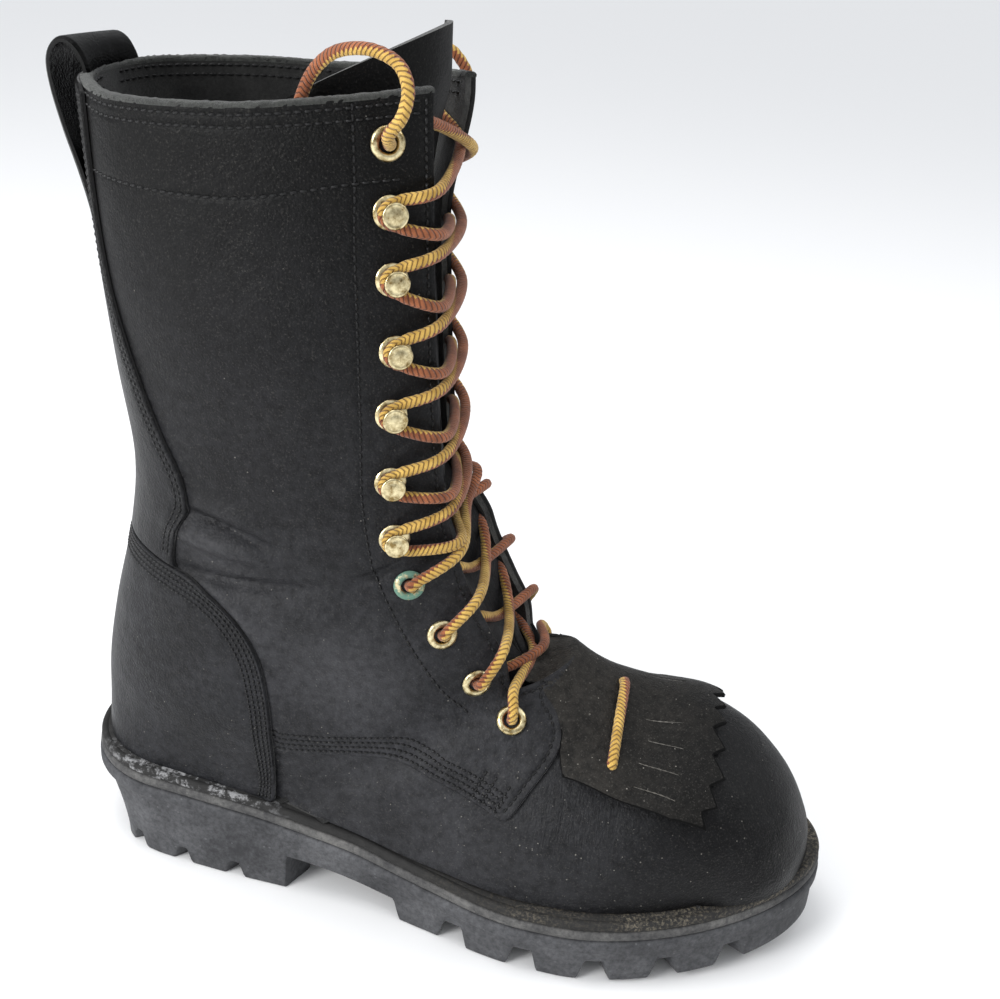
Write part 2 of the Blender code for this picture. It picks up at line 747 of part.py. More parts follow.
def make_kiltie():
    panel = shell("kiltie", LEATHER, PANEL_LOW, PANEL_HIGH)
    cut(panel, prism(kiltie_outline(), 60.0, FAR, 2), "INTERSECT")
    cut(panel, prism(quarter_outline(0.6), -FAR, FAR, 1), "DIFFERENCE")


make_quarter("quarter_lateral", -1)
make_quarter("quarter_medial", 1)
make_counter()
make_backstay()
make_kiltie()

# Pull loop: a wide strap from the backstay over the collar and down inside the shaft
LOOP_HALF_WIDTH = 19.0
LOOP_THICK = 2.4
LOOP_BACK_RADIUS = 50.0
# middle of the strap's inner face, and how far it follows the round of the shaft there
LOOP_X, LOOP_Z, LOOP_FOLLOW = range(3)
LOOP_PATH = (
    (-142.6, 254.0, 1.0),
    (-143.2, 264.0, 1.0),
    (-145.0, 276.0, 0.8),
    (-147.6, 290.0, 0.5),
    (-150.0, 303.0, 0.3),
    (-149.8, 312.0, 0.2),
    (-146.5, 316.5, 0.2),
    (-141.8, 315.5, 0.3),
    (-137.6, 309.0, 0.6),
    (-136.2, 299.0, 1.0),
    (-135.6, 288.0, 1.0),
)


def grid_faces(rows, columns):
    """Faces of a grid of points, row by row."""
    faces = []
    for i in range(rows - 1):
        for j in range(columns - 1):
            first = i * columns + j
            faces.append([first, first + columns, first + columns + 1, first + 1])
    return faces


def make_pull_loop():
    columns = 5
    points = []
    for x, z, follow in LOOP_PATH:
        for j in range(columns):
            y = LOOP_HALF_WIDTH * (2 * j / (columns - 1) - 1)
            bow = LOOP_BACK_RADIUS - np.sqrt(LOOP_BACK_RADIUS ** 2 - y ** 2)
            points.append((x + follow * bow, y, z))
    inner = np.array(points)
    faces = grid_faces(len(LOOP_PATH), columns)
    normal = sheet_normals(inner, faces)
    if normal[0][0] > 0:
        normal = -normal
    solid_points, solid = thicken(inner + LOOP_THICK * normal, inner, faces)
    return make_object("pull_loop", solid_points, solid, LEATHER)


make_pull_loop()

# Eyelets and hooks: places in side view on the quarters' outer face, from the toe up
STATION_X, STATION_Z, STATION_KIND = range(3)
STATIONS = (
    (28.6, 90.0, "eyelet"),
    (13.1, 103.8, "eyelet"),
    (-0.2, 124.2, "eyelet"),
    (-12.5, 144.5, "eyelet"),
    (-18.3, 162.7, "hook"),
    (-20.6, 184.5, "hook"),
    (-21.3, 209.5, "hook"),
    (-21.2, 231.7, "hook"),
    (-23.1, 256.0, "hook"),
    (-24.6, 277.6, "hook"),
    (-26.0, 299.0, "eyelet"),
)
SEAT = 0.8
TURNED_SIDES = 8
EYELET_PROFILE = ((3.0, 0.0), (5.7, 0.0), (5.4, 0.8), (3.6, 1.3))
HOOK_PROFILE = ((0.0, 0.0), (4.6, 0.0), (2.0, 1.3), (2.0, 7.3), (5.1, 7.6), (4.2, 9.1), (0.0, 9.6))


def turned(name, profile, place, normal, sides, material):
    """A turned piece standing on a surface: a profile of radius and height about the normal."""
    axis = Vector(normal).normalized()
    turn = axis.to_track_quat("Z", "Y")
    points, faces = [], []
    hollow = profile[0][0] > 0
    for radius, height in profile:
        for k in range(sides):
            angle = 2 * np.pi * k / sides
            local = Vector((radius * np.cos(angle), radius * np.sin(angle), height))
            points.append(tuple(Vector(place) + turn @ local))
    count = len(profile)
    last = count if hollow else count - 1
    for i in range(last):
        for k in range(sides):
            j, n = (i + 1) % count, (k + 1) % sides
            faces.append([i * sides + k, i * sides + n, j * sides + n, j * sides + k])
    return make_object(name, points, faces, material)


quarter_tree = BVHTree.FromPolygons([Vector(p) for p in skin + PANEL_HIGH * skin_normal], skin_faces)


def on_quarter(x, z, side):
    """Point and normal on the outer face of a quarter, seen from its side."""
    place, normal, _, _ = quarter_tree.ray_cast(Vector((x, side * FAR, z)), Vector((0.0, -side, 0.0)))
    if normal.y * side < 0:
        normal = -normal
    return np.array(place), np.array(normal)


SIDE_NAMES = {-1: "lateral", 1: "medial"}
seats = {}
for side, side_name in SIDE_NAMES.items():
    for number, (x, z, kind) in enumerate(STATIONS):
        place, normal = on_quarter(x, z, side)
        seats[side, number] = (place, normal, kind)
        profile = EYELET_PROFILE if kind == "eyelet" else HOOK_PROFILE
        turned(f"{kind}_{side_name}_{number + 1:02d}", profile, place + SEAT * normal, normal,
               TURNED_SIDES, BRASS)

# Laces: two strands cross between each pair of places, joined where they meet
LACE_SIDES = 5
HOOK_HEIGHT = 5.3
EYELET_HEIGHT = 6.2
HOOK_OFFSET = 4.9
EYELET_OFFSET = 2.7
# how far each crossing stands in front of the throat's ridge line, from the toe up
LACE_BULGES = (-4.5, -9.0, -9.5, -9.0, -6.5, -6.5, -7.0, -7.5, -7.0, -5.0)
LACE_CLEAR = 1.6
SHOULDER_SHARE = 0.18
STRAND_STOPS = (0.0, 1.0, 1.6, 2.4, 3.0, 4.0)


def tube(name, route, stops, sides):
    """A closed round cord on a smooth curve through a route, with a ring at each stop along it."""
    line = [smooth_rows(route, stop) for stop in stops]
    points, faces = [], []
    up = np.array((0.0, 0.0, 1.0))
    for i, centre in enumerate(line):
        tangent = np.array(line[min(i + 1, len(line) - 1)]) - np.array(line[max(i - 1, 0)])
        tangent /= np.linalg.norm(tangent)
        across = np.cross(tangent, up)
        if np.linalg.norm(across) < 0.2:
            across = np.cross(tangent, (0.0, 1.0, 0.0))
        across /= np.linalg.norm(across)
        up = np.cross(across, tangent)
        for k in range(sides):
            angle = 2 * np.pi * (k + 0.5) / sides
            points.append(centre + LACE_RADIUS * (np.cos(angle) * across + np.sin(angle) * up))
    for i in range(len(line) - 1):
        for k in range(sides):
            n = (k + 1) % sides
            faces.append([i * sides + k, i * sides + n, (i + 1) * sides + n, (i + 1) * sides + k])
    faces.append(list(range(sides)))
    faces.append(list(range(len(points) - sides, len(points))))
    return make_object(name, points, faces, CORD)


def lace_seat(side, number, upward):
    """Where a strand sits at a hook or an eyelet, on its upper or its lower side."""
    place, normal, kind = seats[side, number]
    other = number + 1 if number + 1 < len(STATIONS) else number - 1
    along = seats[side, max(number, other)][0] - seats[side, min(number, other)][0]
    along /= np.linalg.norm(along)
    height = HOOK_HEIGHT if kind == "hook" else EYELET_HEIGHT
    offset = HOOK_OFFSET if kind == "hook" else EYELET_OFFSET
    return place + height * normal + (offset if upward else -offset) * along


def lace_middle(number):
    """The point over the tongue where two strands cross."""
    near = [seats[side, n][0] for side in (-1, 1) for n in (number, number + 1)]
    middle = np.mean(near, axis=0)
    rows = np.arange(COLLAR, THROAT_END, 0.02)
    ridge = min((skin_point(s, 0.0) for s in rows), key=lambda p: np.linalg.norm(p[[0, 2]] - middle[[0, 2]]))
    forward = ridge - middle
    forward /= np.linalg.norm(forward)
    return ridge + LACE_BULGES[number] * forward


def throat_shoulder(side, near):
    """Over the throat's edge beside a point in side view, clear of the quarter below it."""
    rows = np.arange(COLLAR + 0.1, THROAT_END - 0.15, 0.05)
    lift = PANEL_HIGH + LACE_RADIUS + LACE_CLEAR
    places = [lifted(s, side * throat_edge(s), lift) for s in rows]
    return min(places, key=lambda place: np.linalg.norm((place - near)[[0, 2]]))


def lace_strand(name, side, number, middle):
    """Half a crossing: from a place on one side to the next one up on the other side."""
    start = lace_seat(side, number, True)
    end = lace_seat(-side, number + 1, False)
    route = [start, throat_shoulder(side, start + SHOULDER_SHARE * (end - start)), middle,
             throat_shoulder(-side, end + SHOULDER_SHARE * (start - end)), end]
    return tube(name, route, STRAND_STOPS, LACE_SIDES)


for number in range(len(STATIONS) - 1):
    middle = lace_middle(number)
    strand = lace_strand(f"lace_crossing_{number + 1:02d}", -1, number, middle)
    cut(strand, lace_strand("other", 1, number, middle), "UNION")

# Lace ends: each leaves its top eyelet, arches over the collar and goes down behind the shaft's wall
LACE_END_ROUTES = {
    -1: (
        (-21.0, -49.2, 303.2), (-15.8, -52.8, 309.7), (-14.3, -53.0, 317.6), (-18.3, -51.0, 324.2),
        (-28.0, -48.4, 327.2), (-39.4, -45.2, 325.4), (-47.4, -42.6, 319.3), (-52.0, -41.7, 310.6),
        (-54.0, -41.9, 301.0), (-54.6, -42.0, 292.0)),
    1: (
        (-23.5, 48.0, 303.0), (-22.3, 50.2, 308.6), (-24.5, 50.0, 315.0), (-30.0, 48.0, 321.0),
        (-38.0, 45.3, 322.6), (-45.5, 42.3, 318.2), (-50.4, 40.9, 310.4), (-52.6, 41.2, 301.0),
        (-53.4, 41.6, 292.0)),
}


def make_lace_end(side):
    route = [np.array(place) for place in LACE_END_ROUTES[side]]
    return tube("lace_end_" + SIDE_NAMES[side], route, np.linspace(0.0, len(route) - 1, 15), LACE_SIDES)


for side in SIDE_NAMES:
    make_lace_end(side)

# Kiltie lace: a short bar of lace that lies across the kiltie
KILTIE_LACE_X = 66.0
KILTIE_LACE_FROM = -30.0
KILTIE_LACE_TO = 13.0
KILTIE_LACE_CLEAR = 1.1


def make_kiltie_lace():
    route = []
    for y in np.linspace(KILTIE_LACE_FROM, KILTIE_LACE_TO, 5):
        start = Vector((KILTIE_LACE_X, y, FAR))
        place, normal, _, _ = quarter_tree.ray_cast(start, Vector((0.0, 0.0, -1.0)))
        route.append(np.array(place) + (LACE_RADIUS + KILTIE_LACE_CLEAR) * np.array(normal))
    return tube("kiltie_lace", route, range(len(route)), LACE_SIDES)


make_kiltie_lace()
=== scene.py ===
import math

import bmesh
import bpy
import numpy as np
from mathutils import Matrix, Vector
from mathutils.geometry import delaunay_2d_cdt
from mathutils.kdtree import KDTree


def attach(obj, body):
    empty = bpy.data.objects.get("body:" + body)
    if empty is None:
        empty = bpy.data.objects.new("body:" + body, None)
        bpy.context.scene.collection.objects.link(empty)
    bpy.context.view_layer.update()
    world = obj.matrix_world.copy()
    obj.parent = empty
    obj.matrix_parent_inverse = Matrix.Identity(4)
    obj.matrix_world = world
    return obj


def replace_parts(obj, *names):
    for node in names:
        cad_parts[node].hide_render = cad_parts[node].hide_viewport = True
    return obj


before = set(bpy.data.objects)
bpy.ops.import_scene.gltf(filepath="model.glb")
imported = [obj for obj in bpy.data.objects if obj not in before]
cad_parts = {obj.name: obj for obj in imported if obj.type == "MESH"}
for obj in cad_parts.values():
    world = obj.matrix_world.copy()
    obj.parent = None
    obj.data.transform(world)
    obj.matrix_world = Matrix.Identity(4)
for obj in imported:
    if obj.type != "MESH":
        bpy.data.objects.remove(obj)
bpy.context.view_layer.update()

# The view and the studio: the camera stands low before the boot's outer side, a little rolled.
# One wide soft light from above, an even pale sky and a pale floor light it.
VIEW_PLACE = (0.09955, -0.42491, 0.36339)
VIEW_TURN, VIEW_RISE, VIEW_ROLL = math.radians(11.66), math.radians(24.27), math.radians(4.56)
VIEW_LENS = 45.764
FLOOR_PALE = (0.9, 0.9, 0.9, 1.0)
SKY_LOW, SKY_HIGH = 0.3, 1.12

view_back = Vector((math.sin(VIEW_TURN) * math.cos(VIEW_RISE),
                    -math.cos(VIEW_TURN) * math.cos(VIEW_RISE), math.sin(VIEW_RISE)))
view_level = Vector((math.cos(VIEW_TURN), math.sin(VIEW_TURN), 0.0))
view_up = view_back.cross(view_level)
view_right = view_level * math.cos(VIEW_ROLL) + view_up * math.sin(VIEW_ROLL)
view_top = view_up * math.cos(VIEW_ROLL) - view_level * math.sin(VIEW_ROLL)
camera_data = bpy.data.cameras.new("photograph_view")
camera_data.lens = VIEW_LENS
camera_data.sensor_width = 36.0
camera_data.clip_start = 0.01
camera = bpy.data.objects.new("photograph_view", camera_data)
camera.matrix_world = Matrix.Translation(VIEW_PLACE) @ Matrix(
    (view_right, view_top, view_back)).transposed().to_4x4()
bpy.context.scene.collection.objects.link(camera)
bpy.context.scene.camera = camera


def soft_light(name, place, target, size, power):
    lamp = bpy.data.lights.new(name, "AREA")
    lamp.shape = "DISK"
    lamp.size = size
    lamp.energy = power
    holder = bpy.data.objects.new(name, lamp)
    holder.location = place
    holder.rotation_euler = (Vector(target) - Vector(place)).to_track_quat("-Z", "Y").to_euler()
    bpy.context.scene.collection.objects.link(holder)


soft_light("sky_light", (-0.45, -0.1, 1.6), (0.0, 0.0, 0.12), 0.9, 9.0)
soft_light("side_light", (-0.95, -1.15, 0.75), (-0.05, 0.0, 0.12), 0.7, 20.0)
soft_light("toe_light", (1.2, 0.3, 1.0), (0.05, 0.0, 0.1), 0.6, 3.0)

sky = bpy.data.worlds.new("overcast")
sky.use_nodes = True
sky.node_tree.nodes["Background"].inputs["Color"].default_value = (0.95, 0.97, 1.0, 1.0)
bpy.context.scene.world = sky
bpy.context.scene.view_settings.view_transform = "Standard"


def dress(tree, holder, sockets):
    """Fills a node's sockets: a plain value on the socket itself, another node's output by a link."""
    for key, value in sockets.items():
        if isinstance(value, bpy.types.NodeSocket):
            tree.links.new(value, holder.inputs[key])
        else:
            holder.inputs[key].default_value = value


def node(tree, kind, sockets, **settings):
    made = tree.nodes.new("ShaderNode" + kind)
    for key, value in settings.items():
        setattr(made, key, value)
    dress(tree, made, sockets)
    return made


def span(tree, value, low, high, to_low=0.0, to_high=1.0):
    """One range of a value carried over to another."""
    return node(tree, "MapRange", {"Value": value, "From Min": low, "From Max": high,
                                   "To Min": to_low, "To Max": to_high}).outputs[0]


sky_tree = sky.node_tree
sky_way = node(sky_tree, "SeparateXYZ", {"Vector": node(sky_tree, "TexCoord", {}).outputs["Generated"]})
dress(sky_tree, sky_tree.nodes["Background"], {
    "Strength": span(sky_tree, sky_way.outputs["Z"], 0.05, 0.85, SKY_LOW, SKY_HIGH)})


def new_material(name):
    """A fresh material: itself, its nodes, its shader and the place on the object."""
    material = bpy.data.materials.new(name)
    material.use_nodes = True
    tree = material.node_tree
    return material, tree, tree.nodes["Principled BSDF"], node(tree, "TexCoord", {}).outputs["Object"]


floor_mesh = bpy.data.meshes.new("floor")
FLOOR_HALF = 40.0
floor_mesh.from_pydata([(-FLOOR_HALF, -FLOOR_HALF, 0.0), (FLOOR_HALF, -FLOOR_HALF, 0.0),
                        (FLOOR_HALF, FLOOR_HALF, 0.0), (-FLOOR_HALF, FLOOR_HALF, 0.0)],
                       [], [(0, 1, 2, 3)])
floor = bpy.data.objects.new("floor", floor_mesh)
bpy.context.scene.collection.objects.link(floor)
floor_finish, tree, shader, _ = new_material("pale_sheet")
dress(tree, shader, {"Base Color": FLOOR_PALE, "Roughness": 0.95, "Specular IOR Level": 0.1})
floor_mesh.materials.append(floor_finish)

# Outsole: one thick moulding of black lugged rubber with a block heel, cemented and sewn under
# the midsole. Its side is dusty; lugs stand round its edge, and a lip runs along its top.
MM = 0.001
SOLE_LENGTH = 306.0
HEEL_END, TOE_END = -SOLE_LENGTH / 2, SOLE_LENGTH / 2
TOE_TIP_Y = 6.0
HEEL_ROUND, TOE_ROUND = 45.0, 93.0
HEEL_POWER, TOE_POWER_LATERAL, TOE_POWER_MEDIAL = 2.2, 1.85, 1.95
TOE_SPRING = 10.0
HEEL_BREAST, FOREFOOT_BACK = -55.5, -5.5
LUG_DEPTH = 9.0
LUG_INSET = 15.0
GAP_SLOPE = 2.6
WALL, PANEL, GAP = 2.2, 1.6, 0.3
MIDSOLE, WELT = 4.0, 3.6
# x, half width to the lateral side, half width to the medial side
SOLE_EDGE = np.array((
    (-108.0, 43.0, 41.5), (-78.0, 45.0, 42.0), (-47.0, 45.5, 38.0), (-22.0, 46.0, 36.0),
    (3.0, 51.0, 40.0), (34.0, 58.0, 51.5), (60.0, 59.5, 58.2)))
# x, height of the outsole's top, how far the upper stands in from the edge
SOLE_SIDE = np.array((
    (-153.0, 36.0, 8.6), (-110.0, 34.5, 8.6), (-70.0, 33.0, 7.6), (-40.0, 28.5, 3.2), (-10.0, 23.0, 3.0),
    (30.0, 20.0, 5.6), (60.0, 20.0, 6.4), (90.0, 21.8, 6.4), (120.0, 25.0, 6.4), (153.0, 30.0, 6.4)))
# gaps between lugs: middle, width at the floor, depth
LUG_GAPS = (
    (-124.5, 9.0, 6.5), (-102.5, 9.0, 6.5), (-78.5, 9.0, 6.5), (17.5, 12.5, LUG_DEPTH),
    (46.5, 12.5, LUG_DEPTH), (74.5, 12.5, LUG_DEPTH), (100.5, 11.0, LUG_DEPTH), (124.5, 11.0, LUG_DEPTH))


def smooth_rows(rows, at):
    """Catmull-Rom through a table whose rows sit at 0, 1, 2 and so on."""
    rows = np.asarray(rows, float)
    at = np.atleast_1d(np.asarray(at, float))
    last = len(rows) - 1
    i = np.clip(np.floor(at).astype(int), 0, last - 1)
    t = (at - i).reshape((-1,) + (1,) * (rows.ndim - 1))
    line = np.concatenate([[2 * rows[0] - rows[1]], rows, [2 * rows[-1] - rows[-2]]])
    before, here, there, after = (line[i + k] for k in range(4))
    return here + 0.5 * t * (there - before + t * (
        2 * before - 5 * here + 4 * there - after + t * (3 * (here - there) + after - before)))


def by_x(rows, x, column):
    """A column of a table whose first column is x, smooth between its rows."""
    x = np.asarray(x, float)
    at = np.interp(x.ravel(), rows[:, 0], np.arange(len(rows)))
    return smooth_rows(rows[:, column], at).reshape(x.shape)


def blend(edge0, edge1, x):
    t = np.clip((np.asarray(x, float) - edge0) / (edge1 - edge0), 0.0, 1.0)
    return t * t * (3 - 2 * t)


def end_round(u, power):
    return (1 - np.clip(u, 0.0, 1.0) ** power) ** (1 / power)


def sole_half(x, side, inset):
    """Distance of the sole's edge from its centre line; side is -1 lateral, 1 medial."""
    lateral = np.asarray(side) < 0
    half = np.where(lateral, by_x(SOLE_EDGE, x, 1), by_x(SOLE_EDGE, x, 2)) - inset
    half = half * end_round((HEEL_END + HEEL_ROUND - x) / (HEEL_ROUND - inset), HEEL_POWER)
    power = np.where(lateral, TOE_POWER_LATERAL, TOE_POWER_MEDIAL)
    return half * end_round((x - TOE_END + TOE_ROUND) / (TOE_ROUND - inset), power)


def sole_centre(x):
    return TOE_TIP_Y * blend(40.0, TOE_END, x)


def outsole_top(x):
    return by_x(SOLE_SIDE, x, 1)


def welt_top(x):
    return outsole_top(x) + MIDSOLE + WELT + 2 * GAP


def reveal(x):
    return by_x(SOLE_SIDE, x, 2)


def lug_floor(x):
    return TOE_SPRING * np.maximum((x - 60.0) / (TOE_END - 60.0), 0.0) ** 1.6


def shank_floor(x):
    return 9.0 + 6.5 * blend(FOREFOOT_BACK, HEEL_BREAST, x)


def edge_ring(xs, inset, height):
    """Points once round the edge at an inset: lateral from heel to toe, then medial back."""
    inset = np.broadcast_to(inset, xs.shape)
    inner = HEEL_END + inset + (xs - HEEL_END) / SOLE_LENGTH * (SOLE_LENGTH - 2 * inset)
    height = np.broadcast_to(height, xs.shape)
    lateral = np.stack([inner, sole_centre(inner) - sole_half(inner, -1, inset), height], 1)
    medial = np.stack([inner, sole_centre(inner) + sole_half(inner, 1, inset), height], 1)
    return np.vstack([lateral, medial[-2:0:-1]])


def sheet_faces(rows, columns, tube=False, closed=False, first=0):
    """Faces of a grid of points; tube joins its columns round, closed joins its last row to the first."""
    faces = []
    for i in range(rows if closed else rows - 1):
        here, there = first + i * columns, first + (i + 1) % rows * columns
        for j in range(columns if tube else columns - 1):
            n = (j + 1) % columns
            faces.append([here + j, here + n, there + n, there + j])
    return faces


def ring_stack(rings, close):
    """Faces through rings of equal count; close caps both ends by strips across the sole."""
    total = len(rings[0])
    count = total // 2 + 1
    faces = sheet_faces(len(rings), total, tube=True)
    if close:
        for first, flip in ((0, True), ((len(rings) - 1) * total, False)):
            cap = [(first, first + 1, first + total - 1)]
            for i in range(1, count - 2):
                cap.append((first + i, first + i + 1, first + total - i - 1, first + total - i))
            cap.append((first + count - 2, first + count - 1, first + count))
            faces += [face[::-1] for face in cap] if flip else cap
    return np.vstack(rings), faces


def make_piece(name, points, faces, materials, sharp=0.9, indices=None):
    """A smooth-shaded mesh from points in millimetres."""
    mesh = bpy.data.meshes.new(name)
    mesh.from_pydata((np.asarray(points) * MM).tolist(), [], [tuple(map(int, f)) for f in faces])
    for material in materials:
        mesh.materials.append(material)
    if indices is not None:
        mesh.polygons.foreach_set("material_index", np.asarray(indices, dtype=np.int32))
    edit = bmesh.new()
    edit.from_mesh(mesh)
    bmesh.ops.remove_doubles(edit, verts=edit.verts, dist=0.000005)
    bmesh.ops.recalc_face_normals(edit, faces=edit.faces)
    edit.to_mesh(mesh)
    edit.free()
    mesh.shade_smooth()
    mesh.set_sharp_from_angle(angle=sharp)
    piece = bpy.data.objects.new(name, mesh)
    bpy.context.scene.collection.objects.link(piece)
    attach(piece, "root")
    return piece


def layer_stations(count):
    return HEEL_END + SOLE_LENGTH / 2 * (1 + np.sin(np.linspace(-1.0, 1.0, count) * np.pi / 2))


def outsole_stations():
    """x of the points round the edge and the height of the tread there."""
    marks = []
    for middle, width, _ in LUG_GAPS:
        for side in (-1, 1):
            edge = middle + side * width / 2
            for step in (-0.8, -0.1, 0.45, 1.3, 2.2, 2.9, 3.6):
                marks.append(edge - side * step)
    for step in (-1.2, -0.6, -0.15, 0.1, 0.5):
        marks.append(HEEL_BREAST + step)
    for step in (-4.6, -4.0, -3.0, -1.5, -0.3, 0.3, 1.0):
        marks.append(FOREFOOT_BACK + step)
    marks = np.array(sorted(marks))
    even = layer_stations(170)
    even = even[np.abs(even[:, None] - marks[None, :]).min(1) > 0.7]
    xs = np.sort(np.concatenate([even, marks]))
    tread = lug_floor(xs)
    for middle, width, depth in LUG_GAPS:
        away = np.abs(xs - middle)
        tread += depth * blend(width / 2 + 0.3, width / 2 - GAP_SLOPE - 0.4, away)
    shank = blend(HEEL_BREAST - 0.6, HEEL_BREAST, xs) * blend(FOREFOOT_BACK, FOREFOOT_BACK - 4.0, xs)
    return xs, tread * (1 - shank) + shank * shank_floor(xs)


def heel_pull(points, share):
    """The block heel narrows towards the floor."""
    pull = share * (11.0 * blend(-100.0, HEEL_END, points[:, 0]) + 1.5)
    moved = points.copy()
    moved[:, 0] += pull * blend(-120.0, HEEL_END, points[:, 0])
    moved[:, 1] *= 1 - pull / 90.0
    return moved


sole_x, tread = outsole_stations()
inside_shank = (sole_x >= HEEL_BREAST) & (sole_x <= FOREFOOT_BACK)
web = np.where(inside_shank, np.maximum(tread, shank_floor(sole_x)) + 0.4, lug_floor(sole_x) + LUG_DEPTH)
lip = outsole_top(sole_x) - 6.0
side_low = tread + 1.1
# inset from the edge, height, and how much of the heel's narrowing is left there
outsole_profile = [
    (LUG_INSET + 3.4, web, 1.0), (LUG_INSET + 2.6, web - 0.5 * (web > tread + 1), 1.0),
    (LUG_INSET + 0.5, np.minimum(tread + 0.7, web), 1.0), (LUG_INSET - 0.4, tread, 1.0),
    (9.0, tread, 1.0), (2.4, tread, 1.0), (1.6, tread + 0.3, 1.0), (1.25, side_low, 0.97)]
outsole_profile += [(1.2, side_low + share * (lip - side_low), 1.0 - 0.9 * share ** 1.25)
                    for share in np.linspace(0.12, 1.0, 9)]
outsole_profile += [
    (0.9, lip + 0.5, 0.05), (0.2, lip + 0.9, 0.0), (0.0, lip + 1.5, 0.0), (0.0, lip + 4.6, 0.0),
    (0.25, lip + 5.4, 0.0), (1.0, lip + 6.0, 0.0), (6.0, lip + 6.0, 0.0)]
outsole_rings = [heel_pull(edge_ring(sole_x, inset, height), narrow)
                 for inset, height, narrow in outsole_profile]


def noise(tree, place, scale, detail, roughness=0.5):
    return node(tree, "TexNoise", {"Vector": place, "Scale": scale, "Detail": detail,
                                   "Roughness": roughness}).outputs["Fac"]


def reckon(tree, operation, first, second):
    return node(tree, "Math", {0: first, 1: second}, operation=operation).outputs[0]


def mixed(tree, share, first, second, way="MIX"):
    """Two colours mixed, each three numbers or another node's output."""
    first, second = ((*side, 1.0) if isinstance(side, tuple) else side for side in (first, second))
    return node(tree, "MixRGB", {"Fac": share, "Color1": first, "Color2": second}, blend_type=way).outputs[0]


def relief(tree, height, strength, distance, under=None):
    """The normal of a bump, over that of a coarser one."""
    sockets = {"Height": height, "Strength": strength, "Distance": distance}
    if under is not None:
        sockets["Normal"] = under
    return node(tree, "Bump", sockets).outputs["Normal"]


def specks(tree, place, rare, small, large):
    """Dots in some cells of a fine mosaic; rare is the share of cells that stay bare."""
    cells = node(tree, "TexVoronoi", {"Vector": place, "Scale": 420.0})
    chance = node(tree, "SeparateColor", {"Color": cells.outputs["Color"]})
    size = span(tree, chance.outputs[1], 0.0, 1.0, small, large)
    return reckon(tree, "MULTIPLY", reckon(tree, "GREATER_THAN", chance.outputs[0], rare),
                  reckon(tree, "LESS_THAN", cells.outputs["Distance"], size))


def dusty_rubber(name, dark, dust, dust_cover, roughness):
    """Matte rubber with dust caught in its pores."""
    material, tree, shader, place = new_material(name)
    cloud = reckon(tree, "MULTIPLY", noise(tree, place, 38.0, 6.0, 0.65),
                   noise(tree, place, 480.0, 6.0, 0.75))
    cover = span(tree, cloud, 0.14, 0.42, 0.0, dust_cover)
    grit = reckon(tree, "MULTIPLY", specks(tree, place, 0.86, 0.22, 0.22), 0.5)
    wide = relief(tree, noise(tree, place, 140.0, 4.0), 0.35, 0.0006)
    dress(tree, shader, {
        "Base Color": mixed(tree, reckon(tree, "MAXIMUM", cover, grit), dark, dust),
        "Normal": relief(tree, noise(tree, place, 1500.0, 3.0), 0.4, 0.00012, wide),
        "Roughness": roughness, "Specular IOR Level": 0.35})
    return material


outsole_points, outsole_faces = ring_stack(outsole_rings, True)
sole_rubber = dusty_rubber("dusty_black_rubber", (0.024, 0.0245, 0.027), (0.15, 0.152, 0.16), 0.66, 0.72)
outsole = make_piece("outsole_rubber", outsole_points, outsole_faces, [sole_rubber], sharp=0.75)
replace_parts(outsole, "outsole")

# Midsole: a sheet of firmer rubber between outsole and welt, ground flush with them; its edge
# catches a paler line of dust.
midsole_x = layer_stations(150)
midsole_low = outsole_top(midsole_x) + GAP
# inset from the edge and height in the layer
MIDSOLE_EDGE = (
    (1.6, 0.0), (0.9, 0.25), (0.6, 0.9), (0.45, 2.0), (0.6, 3.1), (0.9, 3.75),
    (1.6, MIDSOLE), (7.0, MIDSOLE))
midsole_rings = [edge_ring(midsole_x, inset, midsole_low + rise) for inset, rise in MIDSOLE_EDGE]
midsole_points, midsole_faces = ring_stack(midsole_rings, True)
midsole_rubber = dusty_rubber("dusty_midsole_rubber", (0.03, 0.03, 0.032), (0.2, 0.195, 0.185), 0.75, 0.8)
midsole = make_piece("midsole_layer", midsole_points, midsole_faces, [midsole_rubber])
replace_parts(midsole, "midsole")

# Welt: a strip of thick dark leather sewn round the upper's foot and through the midsole. Its top
# is scuffed and holds sand at the toe; at the heel's outer side it is rubbed pale.
welt_x = layer_stations(150)
welt_inner = reveal(welt_x) + WALL + 0.6
welt_low = welt_top(welt_x) - WELT
# inset from the edge and height in the strip; the seam lies in a shallow channel on its top
welt_profile = (
    (welt_inner, 0.0), (1.6, 0.0), (1.1, 0.3), (0.9, 1.0), (0.95, 2.4), (1.3, 3.2), (1.9, WELT),
    (np.minimum(3.0, 0.3 * welt_inner + 1.3), WELT + 0.05),
    (np.minimum(3.6, 0.5 * welt_inner + 0.9), WELT - 0.25),
    (np.minimum(4.2, 0.7 * welt_inner + 0.5), WELT + 0.05),
    (welt_inner, WELT), (welt_inner, 0.0))
welt_rings = [edge_ring(welt_x, inset, welt_low + rise) for inset, rise in welt_profile]
welt_points, welt_faces = ring_stack(welt_rings, False)


